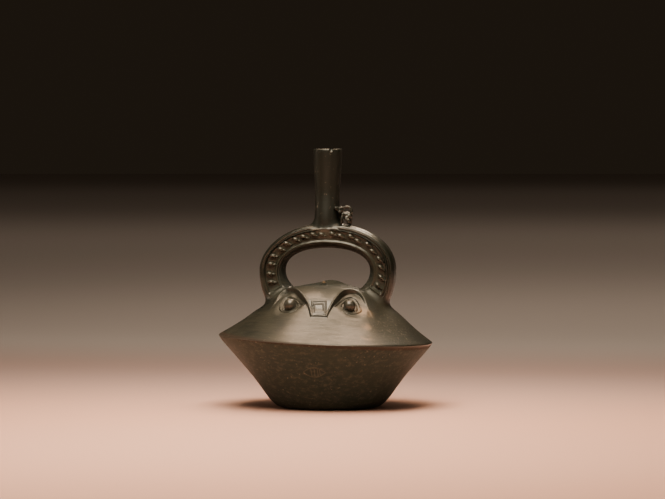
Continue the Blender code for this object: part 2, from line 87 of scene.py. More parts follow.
NODE = "stirrup_spout_vessel"
HEIGHT = 210.0              # drawing units from the foot to the lip
ORIGIN = (0.0, 0.0, 0.0)
UPWARD = (0.0, 0.0, 1.0)
FULL_TURN = 2.0 * math.pi
ON_AXIS = 1e-4              # a place nearer to the upright axis than this lies on it
WELD = 1e-3                 # vertices nearer to each other than this are made one

Plan = tuple[float, float]
Place = tuple[float, float, float]
Colour = tuple[float, float, float, float]


# ---------------------------------------------------------------- curves

def smooth_step(x: float) -> float:
    """0 below 0, 1 above 1, and an even S between them."""
    x = min(max(x, 0.0), 1.0)
    return x * x * (3.0 - 2.0 * x)


def bump(x: float) -> float:
    """Rounded ridge: 1 at 0, and 0 from 1 outwards."""
    return (1.0 - x * x) ** 2 if abs(x) < 1.0 else 0.0


def closeness(distance: float, reach: float) -> float:
    """1 at no distance, falling evenly to 0 at the reach."""
    return min(max(1.0 - distance / reach, 0.0), 1.0)


def around(turn: float) -> Vector:
    """Level direction at a turn about the upright axis, from +X."""
    return Vector((math.cos(turn), math.sin(turn), 0.0))


def azimuth_of(place: Vector) -> float:
    """Angle of a place from the front, towards the right, and 0 on the axis itself."""
    return math.atan2(place.x, -place.y) if math.hypot(place.x, place.y) > ON_AXIS else 0.0


@dataclass(frozen=True)
class Curve:
    """Smooth curve through (x, y) points whose x rises, straight beyond its ends."""

    points: tuple[Plan, ...]

    def slope(self, index: int) -> float:
        """Slope of the curve at one of its points.

        Args:
            index: which point.

        Returns:
            The slope.
        """
        before = self.points[max(index - 1, 0)]
        after = self.points[min(index + 1, len(self.points) - 1)]
        return (after[1] - before[1]) / (after[0] - before[0])

    def at(self, x: float) -> float:
        """Value of the curve.

        Args:
            x: where to read it.

        Returns:
            The curve's y at that x.
        """
        last = len(self.points) - 1
        index = 0
        while index < last - 1 and x > self.points[index + 1][0]:
            index += 1
        (x0, y0), (x1, y1) = self.points[index], self.points[index + 1]
        span = x1 - x0
        t = (x - x0) / span
        if t < 0.0:
            return y0 + self.slope(index) * (x - x0)
        if t > 1.0:
            return y1 + self.slope(index + 1) * (x - x1)
        lead_in = t * (1.0 - t) ** 2 * span
        lead_out = t * t * (t - 1.0) * span
        rise = (y1 - y0) * t * t * (3.0 - 2.0 * t)
        return y0 + rise + self.slope(index) * lead_in + self.slope(index + 1) * lead_out


class PlanLine:
    """Line drawn in plan from smooth runs that may meet in corners, which tells how far away a place is."""

    STEP = 0.2                  # between samples
    LOOK_AHEAD = 0.1            # distance over which a heading is read
    SAME = 1e-6                 # places nearer to each other than this are one

    def __init__(self, *runs: Sequence[Plan]) -> None:
        """Sample the runs evenly.

        Args:
            runs: the points of each smooth run, in the order of travel.
        """
        self.places: list[Vector] = []
        self.headings: list[Vector] = []
        for run in runs:
            self._sample(run)
            self._round_corner(run)
        self.tree = KDTree(len(self.places))
        for index, place in enumerate(self.places):
            self.tree.insert(place.to_3d(), index)
        self.tree.balance()

    def _sample(self, run: Sequence[Plan]) -> None:
        """Add even samples of one smooth run.

        Args:
            run: its points.
        """
        lengths = [0.0]
        for before, after in zip(run, run[1:]):
            lengths.append(lengths[-1] + math.dist(before, after))
        across = Curve(tuple((length, x) for length, (x, _) in zip(lengths, run)))
        along = Curve(tuple((length, y) for length, (_, y) in zip(lengths, run)))
        count = max(2, round(lengths[-1] / self.STEP))
        for k in range(count + 1):
            s = lengths[-1] * k / count
            here = Vector((across.at(s), along.at(s)))
            ahead = Vector((across.at(s + self.LOOK_AHEAD), along.at(s + self.LOOK_AHEAD)))
            self.places.append(here)
            self.headings.append((ahead - here).normalized())

    def _round_corner(self, run: Sequence[Plan]) -> None:
        """Give the corner at which a run starts the heading halfway between its own and the one before.

        Args:
            run: its points.
        """
        start = Vector(run[0])
        index = next(i for i, place in enumerate(self.places) if (place - start).length < self.SAME)
        if index and (self.places[index + 1] - self.places[index]).length < self.SAME:
            heading = (self.headings[index] + self.headings[index + 1]).normalized()
            self.headings[index] = self.headings[index + 1] = heading

    def measure(self, x: float, y: float) -> tuple[float, float]:
        """Where a place lies against the line.

        Args:
            x: the place's first coordinate.
            y: its second one.

        Returns:
            The distance, positive on the left of the travel, and the share of the line's length.
        """
        _, index, distance = self.tree.find((x, y, 0.0))
        offset = Vector((x, y)) - self.places[index]
        heading = self.headings[index]
        side = heading.x * offset.y - heading.y * offset.x
        if abs(side) < distance - self.STEP:
            side = math.copysign(distance, side)
        return side, index / (len(self.places) - 1)


# ---------------------------------------------------------------- mesh tools

def lump(centre: Vector, radii: Sequence[float], turn: Matrix | None = None,
         fineness: int = 3) -> bmesh.types.BMesh:
    """Rounded pellet of clay: an icosphere stretched to three radii.

    Args:
        centre: its middle.
        radii: half lengths along its own axes.
        turn: its own axes as the columns of a matrix, or None if they are the vessel's.
        fineness: subdivisions of the icosphere.

    Returns:
        The pellet.
    """
    mesh = bmesh.new()
    bmesh.ops.create_icosphere(mesh, subdivisions=fineness, radius=1.0)
    bmesh.ops.scale(mesh, vec=Vector(radii), verts=mesh.verts[:])
    if turn is not None:
        bmesh.ops.transform(mesh, matrix=turn.to_4x4(), verts=mesh.verts[:])
    bmesh.ops.translate(mesh, vec=centre, verts=mesh.verts[:])
    return mesh


def in_order(chosen: Iterable, elements: bmesh.types.BMVertSeq | bmesh.types.BMEdgeSeq) -> list:
    """Chosen vertices or edges in the order of their mesh, which a set doesn't keep.

    Args:
        chosen: the ones that are wanted.
        elements: all those of the mesh.

    Returns:
        The wanted ones.
    """
    elements.index_update()
    return sorted(chosen, key=lambda element: element.index)


def spin_outline(outline: Sequence[Vector], sectors: Sequence[tuple[float, int]],
                 start: float = 0.0) -> bmesh.types.BMesh:
    """Closed shape spun about the upright axis.

    Args:
        outline: its points in the plane that looks forwards, from the axis back to the axis.
        sectors: angle and steps of each stretch of the turn.
        start: angle at which the first stretch begins.

    Returns:
        The shape. Its faces may look inwards.
    """
    mesh = bmesh.new()
    verts = [mesh.verts.new(point) for point in outline]
    geometry = verts + [mesh.edges.new(pair) for pair in zip(verts, verts[1:])]
    bmesh.ops.rotate(mesh, cent=ORIGIN, matrix=Matrix.Rotation(start, 3, "Z"), verts=verts)
    for angle, steps in sectors:
        spin = bmesh.ops.spin(mesh, geom=geometry, cent=ORIGIN, axis=UPWARD, angle=angle, steps=steps,
                              use_merge=len(sectors) == 1)
        geometry = spin["geom_last"]
    bmesh.ops.remove_doubles(mesh, verts=mesh.verts[:], dist=WELD)
    return mesh


def sleeve(sides: int, stations: int, surface: Callable[[float, float], Vector]) -> bmesh.types.BMesh:
    """Capped round bar whose skin is moved onto a surface.

    Args:
        sides: sides of the bar.
        stations: steps along it.
        surface: place of the skin at a share of the length (0 to 1) and a turn about the bar in radians.

    Returns:
        The bar.
    """
    mesh = bmesh.new()
    bmesh.ops.create_cone(mesh, cap_ends=True, segments=sides, radius1=1.0, radius2=1.0, depth=1.0)
    long_edges = [edge for edge in mesh.edges if abs(edge.verts[0].co.z - edge.verts[1].co.z) > 0.5]
    bmesh.ops.subdivide_edges(mesh, edges=long_edges, cuts=stations - 1, use_grid_fill=True)
    for vert in mesh.verts:
        vert.co = surface(vert.co.z + 0.5, math.atan2(vert.co.y, vert.co.x))
    if mesh.calc_volume(signed=True) < 0.0:
        bmesh.ops.reverse_faces(mesh, faces=mesh.faces[:])
    return mesh


def roll(path: Sequence[Place], radii: Sequence[float], sides: int = 12, steps: int = 5) -> bmesh.types.BMesh:
    """Roll of clay with round ends along a smooth path.

    Args:
        path: points of its middle line.
        radii: its radius at each point.
        sides: sides of the roll.
        steps: stations from one point of the path to the next.

    Returns:
        The roll.
    """
    look, near_look = 0.1, 0.05     # how far to each side a heading and a stride are read, in points
    least_tip = 0.02                # share of the squared radius at the very end
    count = len(path) - 1
    axes = [Curve(tuple((i, point[axis]) for i, point in enumerate(path))) for axis in range(3)]
    thickness = Curve(tuple((i, radius) for i, radius in enumerate(radii)))

    def middle(s: float) -> Vector:
        """Place on the path at a number of points from its start."""
        return Vector([axis.at(s) for axis in axes])

    frames = []
    before = middle(look) - middle(0.0)
    frame = before.to_track_quat("Z", "Y").to_matrix()
    for k in range(count * steps + 1):
        ahead = middle(k / steps + look) - middle(k / steps - look)
        frame = before.rotation_difference(ahead).to_matrix() @ frame
        before = ahead
        frames.append(frame)

    def surface(share: float, turn: float) -> Vector:
        """Place on the roll's skin.

        Args:
            share: from 0 at the start of the path to 1 at its end.
            turn: angle round it.

        Returns:
            The place.
        """
        s = share * count
        index = min(round(s * steps), len(frames) - 1)
        stride = (middle(s + near_look) - middle(s - near_look)).length
        to_end = min(s, count - s) * stride * (0.5 / near_look)
        radius = thickness.at(s)
        shrink = math.sqrt(max(1.0 - (1.0 - min(to_end / radius, 1.0)) ** 2, least_tip))
        return middle(s) + frames[index] @ (around(turn) * radius * shrink)

    return sleeve(sides, count * steps, surface)


def clay_object(name: str, mesh: bmesh.types.BMesh) -> bpy.types.Object:
    """Object from a bmesh.

    Args:
        name: its name.
        mesh: its shape, which is freed.

    Returns:
        The object, linked to the scene.
    """
    data = bpy.data.meshes.new(name)
    mesh.to_mesh(data)
    mesh.free()
    item = bpy.data.objects.new(name, data)
    bpy.context.scene.collection.objects.link(item)
    return item


@contextmanager
def editing(item: bpy.types.Object) -> Iterator[bmesh.types.BMesh]:
    """An object's mesh as a bmesh, which is written back at the end.

    Args:
        item: the object.

    Returns:
        The bmesh, while it is being changed.
    """
    mesh = bmesh.new()
    mesh.from_mesh(item.data)
    yield mesh
    mesh.to_mesh(item.data)
    mesh.free()


class Joining(Enum):
    """How a group of pieces meets the vessel."""

    ADD = "UNION"
    CUT = "DIFFERENCE"


def join(target: bpy.types.Object, meshes: Iterable[bmesh.types.BMesh], joining: Joining) -> None:
    """Fuse pieces with an object or cut them out of it.

    Args:
        target: the object, whose mesh is replaced by the result.
        meshes: the pieces, which are freed.
        joining: whether they are added or cut away.
    """
    group = bpy.data.collections.new(joining.name.lower())
    bpy.context.scene.collection.children.link(group)
    for index, mesh in enumerate(meshes):
        piece = clay_object("{}_{}".format(group.name, index), mesh)
        bpy.context.scene.collection.objects.unlink(piece)
        group.objects.link(piece)
    modifier = target.modifiers.new(group.name, "BOOLEAN")
    modifier.operation = joining.value
    modifier.operand_type = "COLLECTION"
    modifier.collection = group
    modifier.solver = "MANIFOLD"
    graph = bpy.context.evaluated_depsgraph_get()
    result = bpy.data.meshes.new_from_object(target.evaluated_get(graph))
    target.modifiers.clear()
    target.data = result
    for piece in list(group.objects):
        bpy.data.objects.remove(piece, do_unlink=True)
    bpy.data.collections.remove(group)


# ---------------------------------------------------------------- body

@dataclass(frozen=True)
class Bowl:
    """Lower half of the body, turned on the wheel from the flat foot to the rim."""

    profile: Curve = Curve((
        (0.0, 38.0), (0.9, 41.2), (2.6, 43.7), (7.2, 48.5), (18.6, 56.8), (26.2, 62.5), (50.7, 83.4),
        (64.8, 95.4)))
    level: float = 26.2         # above this height the rows follow the slant of the rim
    wall: float = 4.5

    def radius(self, height: float) -> float:
        """Outer radius at a height."""
        return self.profile.at(height)


@dataclass(frozen=True)
class Shell:
    """Upper half of the body: an ogee about an axis that leans to the right."""

    profile: Curve = Curve((
        (0.0, 49.1), (5.0, 48.5), (11.0, 46.5), (30.0, 41.5), (44.0, 34.3), (58.0, 23.1), (72.0, 11.7),
        (88.0, 0.8), (100.0, -6.8)))
    foot: float = 54.4          # height of the profile's zero over the floor
    lean: float = math.radians(3.5)
    probe: float = 0.4          # distance to each side over which the slope is read
    tries: int = 8              # it takes to find the place over a spot in plan

    def normal(self, radius: float) -> Vector:
        """Outward normal of the upright profile, as (radial, vertical)."""
        fall = self.profile.at(radius - self.probe) - self.profile.at(radius + self.probe)
        return Vector((fall, 2.0 * self.probe)).normalized()

    def point(self, radius: float, azimuth: float, lift: float = 0.0) -> Vector:
        """Place on the leaning shell.

        Args:
            radius: distance from the shell's axis.
            azimuth: angle from the front, towards the right.
            lift: how far the place stands proud, along the normal.

        Returns:
            The place.
        """
        normal = self.normal(radius)
        reach = radius + lift * normal.x
        height = self.profile.at(radius) + lift * normal.y
        upright = Vector((reach * math.sin(azimuth), -reach * math.cos(azimuth), height))
        return Matrix.Rotation(self.lean, 3, "Y") @ upright + Vector((0.0, 0.0, self.foot))

    def over(self, x: float, y: float, lift: float = 0.0) -> Vector:
        """Place on or over the shell above a spot in plan.

        Args:
            x: the spot's X.
            y: its Y.
            lift: how far the place stands proud, along the normal.

        Returns:
            The place.
        """
        target = Vector((x, y))
        guess = target.copy()
        for _ in range(self.tries):
            guess += target - self.point(guess.length, azimuth_of(guess), lift).xy
        return self.point(guess.length, azimuth_of(guess), lift)

    def lift_of(self, place: Vector) -> float:
        """How far a place stands over the shell.

        Args:
            place: the place.

        Returns:
            The distance along the shell's normal, negative inside it.
        """
        upright = Matrix.Rotation(-self.lean, 3, "Y") @ (place - Vector((0.0, 0.0, self.foot)))
        radius = math.hypot(upright.x, upright.y)
        return (upright.z - self.profile.at(radius)) * self.normal(radius).y


@dataclass(frozen=True)
class EyeLines:
    """Where one eye's ball and lid lines lie, in plan."""

    ball: Plan
    outer_lid: tuple[Plan, ...]
    inner_lid: tuple[Plan, ...]


@dataclass
class Face:
    """Face on the front of the shell, in plan from its own middle line."""

    shift: float = -1.0         # of its middle line from the vessel's axis
    left_brow: tuple[Plan, ...] = (
        (-39.6, -35.0), (-36.0, -29.3), (-33.0, -23.6), (-29.6, -21.0), (-25.2, -23.5), (-21.9, -27.7),
        (-17.4, -34.3), (-12.8, -41.7), (-9.5, -46.5), (-6.8, -51.0), (-4.9, -55.8), (-3.3, -59.8))
    right_brow: tuple[Plan, ...] = (
        (9.8, -59.1), (10.6, -55.2), (11.8, -50.9), (13.3, -46.6), (14.9, -42.0), (17.0, -35.2),
        (19.4, -30.1), (22.4, -26.3), (25.6, -24.0), (28.9, -24.1), (32.1, -26.1), (35.2, -30.2),
        (39.4, -35.6))
    brow_rise: float = 3.1
    brow_grows: float = 0.14    # share of the edge's length over which a brow rises from its end
    brow_start: float = 0.04    # its share of the full rise right at that end
    nose_rise: float = 0.45
    nose_top: float = -44.5     # where the forehead starts to turn into the nose
    nose_turn: float = 9.0      # length over which it does
    middle: float = 3.0         # of the forehead, from the face's middle line
    forehead_half: float = 16.0
    forehead_fade: float = 14.0     # width over which each side of the forehead sinks
    forehead_top: float = -13.0
    forehead_slope: float = 18.0
    bead_rise: float = 0.75
    bead_half: float = 1.0
    bead_ends: Plan = (0.12, 0.10)      # share of the edge's length left bare, and where the bead grows
    cliff: float = 0.5          # half width of the sheet's sheer edge
    sheet_flat: float = 1.0     # from the edge to where the forehead starts to sink
    sheet_reach: float = 15.0   # from the edge to where it is flush again
    socket_radii: Plan = (14.5, 15.0)
    socket_depth: float = 1.6
    socket_wall: float = 0.6    # share of the socket's radius over which it deepens
    socket_shift: float = 3.0   # of the socket's middle uphill from the ball's
    ball_radius: float = 4.95
    under_brow: float = 0.9     # how much deeper the socket is right under the brow
    under_brow_reach: float = 4.5
    lid_rise: float = 0.9
    lid_half: float = 0.85
    left: EyeLines = EyeLines(
        ball=(-22.9, -44.0),
        outer_lid=((-10.7, -47.9), (-14.8, -44.3), (-17.0, -40.8), (-20.3, -36.2), (-24.4, -32.2),
                   (-27.9, -31.0), (-30.4, -32.9), (-31.5, -36.8), (-31.8, -41.5), (-29.8, -46.0),
                   (-26.1, -49.2), (-22.5, -50.9), (-17.6, -50.4)),
        inner_lid=((-15.6, -46.2), (-17.6, -42.1), (-20.3, -38.4), (-24.3, -35.4), (-27.1, -36.1),
                   (-28.7, -39.4), (-29.1, -43.8)))
    right: EyeLines = EyeLines(
        ball=(25.1, -42.4),
        outer_lid=((14.2, -47.6), (16.3, -42.9), (18.3, -38.5), (20.5, -34.3), (23.6, -31.0), (27.5, -30.3),
                   (30.8, -33.0), (32.6, -36.3), (34.1, -39.2), (33.6, -42.3), (30.2, -46.3), (26.5, -48.6),
                   (21.6, -49.0)),
        inner_lid=((18.4, -45.4), (19.0, -42.1), (21.0, -37.4), (23.7, -34.3), (26.9, -33.9), (29.7, -36.1),
                   (31.2, -39.9), (30.6, -44.0)))
    nose_squares: tuple[tuple[Plan, ...], ...] = (
        ((-4.0, -47.7), (-2.2, -57.4), (8.4, -56.5), (6.7, -46.9)),
        ((-2.1, -49.3), (-0.5, -55.6), (6.5, -55.0), (4.9, -48.8)))
    square_rise: float = 0.5
    square_half: float = 0.75
    nub: Plan = (0.4, -19.9)
    nub_rise: float = 4.6
    nub_reach: float = 5.0
    nub_blunt: float = 0.1      # how round its tip is, as a share of its reach
    nub_foot: float = 0.99      # draws the rounded cone's foot back to its reach
    nub_hollow: float = 1.8     # above 1 its flanks are hollow
    field_half: float = 50.0    # half width, front and back of the plan in which anything is carved
    field_front: float = -70.0
    field_back: float = -8.0
    detail_half: float = 44.0   # the same for the finest carving
    detail_front: float = -64.0
    detail_back: float = -14.0
    edge_detail: float = 1.7    # half width of the fine strip along the brows' edge
    eye_detail: float = 12.5    # radius of the fine disc round an eye
    eye_detail_shift: float = 2.0       # of the disc's middle uphill from the ball's
    nose_detail: float = -1.0   # how far outside the larger square it is still fine

    def __post_init__(self) -> None:
        """Lay out the lines that the relief is measured from."""
        foot = (self.left_brow[-1], self.right_brow[0])
        self.sheet = PlanLine(self.left_brow, foot, self.right_brow)
        self.eyes = (self.left, self.right)
        self.lids = [PlanLine(line) for eye in self.eyes for line in (eye.outer_lid, eye.inner_lid)]
        self.squares = [PlanLine(*self.closed(corners)) for corners in self.nose_squares]

    @staticmethod
    def closed(corners: Sequence[Plan]) -> list[tuple[Plan, Plan]]:
        """Straight runs round a closed figure, from the middle of one side back to it.

        Args:
            corners: the figure's corners in turn.

        Returns:
            Both ends of each run.
        """
        (x0, y0), (x1, y1) = corners[:2]
        middle = (0.5 * (x0 + x1), 0.5 * (y0 + y1))
        stops = (middle, *corners[1:], corners[0], middle)
        return list(zip(stops, stops[1:]))

    def lift(self, x: float, y: float) -> float:
        """Height of the carving over the plain shell.

        Args:
            x: distance to the right of the vessel's axis.
            y: distance behind it.

        Returns:
            The height, negative where the clay is pressed in.
        """
        x -= self.shift
        if abs(x) >= self.field_half or not self.field_front < y < self.field_back:
            return 0.0
        inside, share = self.sheet.measure(x, y)
        on_sheet = smooth_step((inside + self.cliff) / (2.0 * self.cliff))
        height = self._sheet_lift(x, y, inside, share) * on_sheet
        height += self._socket_lift(x, y, inside) * (1.0 - on_sheet)
        height += sum(self.lid_rise * bump(line.measure(x, y)[0] / self.lid_half) for line in self.lids)
        height += self._nose_lift(x, y) + self._nub_lift(x, y)
        return height

    def _sheet_lift(self, x: float, y: float, inside: float, share: float) -> float:
        """Height of the forehead's sheet, uphill of its edge.

        Args:
            x: distance to the right of the face's middle line.
            y: distance behind the vessel's axis.
            inside: distance from the edge, positive on the sheet.
            share: share of the edge's length at the nearest place on it.

        Returns:
            The height.
        """
        on_nose = smooth_step((self.nose_top - y) / self.nose_turn)
        from_end = min(share, 1.0 - share)
        crest = self.brow_rise + (self.nose_rise - self.brow_rise) * on_nose
        forehead = 1.0 - smooth_step((abs(x - self.middle) - self.forehead_half) / self.forehead_fade)
        forehead *= smooth_step((self.forehead_top - y) / self.forehead_slope)
        sunk = smooth_step((inside - self.sheet_flat) / (self.sheet_reach - self.sheet_flat))
        flush = 1.0 - sunk * (1.0 - max(on_nose, forehead))
        bare, grows = self.bead_ends
        bead = self.bead_rise * bump((inside - self.bead_half) / self.bead_half)
        bead *= smooth_step((from_end - bare) / grows)
        grown = self.brow_start + (1.0 - self.brow_start) * smooth_step(from_end / self.brow_grows)
        return crest * flush * grown + bead

    def _socket_lift(self, x: float, y: float, inside: float) -> float:
        """Depth of the eye sockets under the brows.

        Args:
            x: distance to the right of the face's middle line.
            y: distance behind the vessel's axis.
            inside: distance from the brows' edge, negative in the sockets.

        Returns:
            The depth, as a negative height.
        """
        deepest = 0.0
        for eye in self.eyes:
            reach = math.hypot((x - eye.ball[0]) / self.socket_radii[0],
                               (y - eye.ball[1] - self.socket_shift) / self.socket_radii[1])
            depth = self.socket_depth + self.under_brow * bump(inside / self.under_brow_reach)
            deepest = max(deepest, depth * smooth_step((1.0 - reach) / self.socket_wall))
        return -deepest

    def _nose_lift(self, x: float, y: float) -> float:
        """Height of the two raised squares on the nose."""
        lines = (bump(square.measure(x, y)[0] / self.square_half) for square in self.squares)
        return self.square_rise * sum(lines)

    def _nub_lift(self, x: float, y: float) -> float:
        """Height of the soft cone on the crown.

        Args:
            x: distance to the right of the face's middle line.
            y: distance behind the vessel's axis.

        Returns:
            The height.
        """
        reach = math.dist((x, y), self.nub) / self.nub_reach
        cone = max(1.0 - math.hypot(reach, self.nub_blunt) * self.nub_foot, 0.0)
        return self.nub_rise * cone ** self.nub_hollow

    def near_detail(self, x: float, y: float) -> bool:
        """Whether a spot lies where the carving is finest.

        Args:
            x: distance to the right of the vessel's axis.
            y: distance behind it.

        Returns:
            True if it does.
        """
        x -= self.shift
        if abs(x) >= self.detail_half or not self.detail_front < y < self.detail_back:
            return False
        if abs(self.sheet.measure(x, y)[0]) < self.edge_detail:
            return True
        discs = ((eye.ball[0], eye.ball[1] + self.eye_detail_shift) for eye in self.eyes)
        if any(math.dist((x, y), middle) < self.eye_detail for middle in discs):
            return True
        return self.squares[0].measure(x, y)[0] > self.nose_detail

    def eyeballs(self, shell: Shell) -> list[bmesh.types.BMesh]:
        """The two bulging balls.

        Args:
            shell: what they stand on.

        Returns:
            One pellet for each.
        """
        places = [shell.over(eye.ball[0] + self.shift, eye.ball[1]) for eye in self.eyes]
        return [lump(place, [self.ball_radius] * 3, fineness=4) for place in places]


@dataclass(frozen=True)
class ScratchedMark:
    """Almond with upright strokes, scratched lightly into the front of the bowl."""

    height: float = 32.4
    half_width: float = 9.0
    half_height: float = 3.9
    strokes: tuple[float, ...] = (-2.3, 0.3, 2.9, 4.6)
    stroke_share: float = 0.8   # depth of the strokes against the almond's own line
    depth: float = 0.28
    half_line: float = 0.55
    margin: float = 1.0         # beyond which nothing of it is felt

    def lift(self, x: float, z: float) -> float:
        """Depth of the scratches, as a negative height.

        Args:
            x: distance to the right of the middle.
            z: height over the floor.

        Returns:
            The height.
        """
        up = z - self.height
        if abs(x) > self.half_width + self.margin or abs(up) > self.half_height + self.margin:
            return 0.0
        edge = self.half_height * (1.0 - (x / self.half_width) ** 2)
        slant = math.hypot(1.0, 2.0 * self.half_height * x / self.half_width ** 2)
        line = bump((abs(up) - edge) / slant / self.half_line)
        if abs(up) < edge:
            strokes = [bump((x - stroke) / self.half_line) for stroke in self.strokes]
            line = max([line] + [self.stroke_share * stroke for stroke in strokes])
        return -self.depth * line


@dataclass
class Body:
    """Two-cone body: the profile is spun, refined where it is carved, and pressed into shape."""

    bowl: Bowl = field(default_factory=Bowl)
    shell: Shell = field(default_factory=Shell)
    face: Face = field(default_factory=Face)
    mark: ScratchedMark = field(default_factory=ScratchedMark)
    rim: float = 86.8           # radius of the rim while the profile is spun upright
    rim_limits: Plan = (70.0, 99.0)     # between which the shell meets the bowl
    rim_tries: int = 24
    rubbed_off: float = 0.06    # how far burnishing took the rim back
    softening: float = 0.7      # how far the rim's outermost row is drawn in
    row: float = 1.3            # from one row of the shell to the next
    at_rim: float = 0.1         # from the rim in to where a vertex still counts as the outermost row's
    bowl_row: float = 2.6
    shell_slant: float = 1.16   # length of the shell's profile against its radius
    bowl_slant: float = 1.3     # length of the bowl's profile against its height
    bowl_crowding: float = 0.85     # below 1 the bowl's rows lie closer near the foot
    foot_rings: tuple[float, ...] = (0.6, 0.0)
    front_sector: float = math.radians(104.0)
    front_step: float = math.radians(1.0)
    back_step: float = math.radians(4.0)
    fine_half: float = 44.0     # half width, front and back of the finer mesh under the face
    fine_front: float = -66.0
    fine_back: float = -12.0
    lean_shift: float = 0.06    # sideways shift of the leaning shell for each unit over the rim
    fine_mark: Plan = (10.5, 5.5)       # half width and half height of the fine patch round the mark
    mark_sector: float = 0.3    # half the turn within which the mark is pressed in
    bowl_normal: Plan = (0.76, -0.65)   # across and up, where the mark is scratched
    chamber_toe: float = 0.5    # from the chamber's floor up to its second ring
    chamber_heights: tuple[float, ...] = (12.0, 26.0, 40.0)     # at which its next three rings lie
    chamber_slant: float = 1.3  # level thickness of the slanting wall against the wall itself
    chamber_rings: tuple[float, ...] = (1.0, 0.85, 0.7, 0.55, 0.38, 0.2, 0.06, 0.0)
    chamber_sides: int = 48
    overhead: float = 100.0     # height at which points wait to be moved under the shell

    @property
    def rim_height(self) -> float:
        """Height of the rim on the upright body."""
        return self.shell.foot + self.shell.profile.at(self.rim)

    def rim_radius(self, azimuth: float, wall: float = 0.0) -> float:
        """Radius on the shell at which it meets the bowl.

        Args:
            azimuth: angle from the front.
            wall: how far both are drawn in.

        Returns:
            The radius.
        """
        low, high = self.rim_limits
        for _ in range(self.rim_tries):
            middle = 0.5 * (low + high)
            point = self.shell.point(middle, azimuth, -wall)
            slope = (self.bowl.radius(point.z + 1.0) - self.bowl.radius(point.z - 1.0)) / 2.0
            if math.hypot(point.x, point.y) < self.bowl.radius(point.z) - wall * math.hypot(1.0, slope):
                low = middle
            else:
                high = middle
        return low - self.rubbed_off

    def outline(self) -> list[Vector]:
        """Upright profile of the body.

        Returns:
            Its points, from the crown over the rim to the middle of the foot.
        """
        rows = round(self.rim * self.shell_slant / self.row)
        radii = [self.rim * k / rows for k in range(rows + 1)]
        points = [(radius, self.shell.foot + self.shell.profile.at(radius)) for radius in radii]
        steps = round(self.rim_height * self.bowl_slant / self.bowl_row)
        shares = [(k / steps) ** self.bowl_crowding for k in range(1, steps + 1)]
        heights = [self.rim_height * (1.0 - share) for share in shares]
        points += [(self.bowl.radius(height), height) for height in heights]
        points += [(self.bowl.radius(0.0) * share, 0.0) for share in self.foot_rings]
        return [Vector((0.0, -radius, height)) for radius, height in points]

    def spun(self) -> bmesh.types.BMesh:
        """The upright profile, spun.

        Returns:
            The upright body, fine in its front sector and coarse behind.
        """
        sectors = [(angle, round(angle / step)) for angle, step in (
            (self.front_sector, self.front_step), (FULL_TURN - self.front_sector, self.back_step))]
        mesh = spin_outline(self.outline(), sectors, -0.5 * self.front_sector)
        bmesh.ops.recalc_face_normals(mesh, faces=mesh.faces[:])
        return mesh

    def refine(self, mesh: bmesh.types.BMesh) -> None:
        """Split the faces finer where the clay is carved.

        Args:
            mesh: the upright body.
        """
        def in_face(spot: Vector) -> bool:
            """Whether a spot lies on the front of the shell."""
            over_rim = spot.z > self.rim_height and abs(spot.x) < self.fine_half
            return over_rim and self.fine_front < spot.y < self.fine_back

        def in_fine_face(spot: Vector) -> bool:
            """Whether a spot lies where the face is carved most finely."""
            leaning = spot.x + self.lean_shift * (spot.z - self.rim_height)
            return in_face(spot) and self.face.near_detail(leaning, spot.y)

        def in_mark(spot: Vector) -> bool:
            """Whether a spot lies round the scratched mark."""
            beside, above = abs(spot.x), abs(spot.z - self.mark.height)
            return spot.y < 0.0 and beside < self.fine_mark[0] and above < self.fine_mark[1]

        for wanted in (in_face, in_fine_face, in_mark, in_mark, in_mark):
            faces = [face for face in mesh.faces if wanted(face.calc_center_median())]
            edges = in_order({edge for face in faces for edge in face.edges}, mesh.edges)
            bmesh.ops.subdivide_edges(mesh, edges=edges, cuts=1, use_grid_fill=True)

    def seat(self, mesh: bmesh.types.BMesh) -> None:
        """Move the upright body's skin onto the real one, carving included.

        Args:
            mesh: the upright body.
        """
        rims: dict[float, tuple[float, Vector]] = {}
        for vert in mesh.verts:
            radius = math.hypot(vert.co.x, vert.co.y)
            azimuth = azimuth_of(vert.co)
            key = round(azimuth, 5)
            if key not in rims:
                reach = self.rim_radius(azimuth)
                rims[key] = (reach, self.shell.point(reach, azimuth))
            reach, rim = rims[key]
            if vert.co.z > self.rim_height - WELD:
                outermost = radius > self.rim - self.at_rim
                vert.co = self._shell_place(radius / self.rim * reach, azimuth, outermost)
            else:
                vert.co = self._bowl_place(vert.co.z, radius, rim)

    def _shell_place(self, radius: float, azimuth: float, on_rim: bool) -> Vector:
        """Place of a vertex of the shell.

        Args:
            radius: distance from the shell's axis.
            azimuth: angle from the front.
            on_rim: whether it belongs to the outermost row.

        Returns:
            The place.
        """
        flat = self.shell.point(radius, azimuth)
        if on_rim:
            return flat - Vector((flat.x, flat.y, 0.0)).normalized() * self.softening
        return self.shell.point(radius, azimuth, self.face.lift(flat.x, flat.y))

    def _bowl_place(self, height: float, radius: float, rim: Vector) -> Vector:
        """Place of a vertex of the bowl.

        Args:
            height: its height on the upright body.
            radius: its distance from the axis there.
            rim: the rim's real place above it.

        Returns:
            The place.
        """
        heading = azimuth_of(rim)
        if height > self.bowl.level:
            share = (height - self.bowl.level) / (self.rim_height - self.bowl.level)
            height = self.bowl.level + (rim.z - self.bowl.level) * share
        if height > ON_AXIS:
            radius = self.bowl.radius(height)
        pressed = self.mark.lift(radius * heading, height) if abs(heading) < self.mark_sector else 0.0
        radius += self.bowl_normal[0] * pressed
        height += self.bowl_normal[1] * pressed
        return Vector((radius * math.sin(heading), -radius * math.cos(heading), height))

    def build(self) -> bmesh.types.BMesh:
        """Spin, refine and seat the body.

        Returns:
            The carved body, still solid.
        """
        mesh = self.spun()
        self.refine(mesh)
        self.seat(mesh)
        return mesh

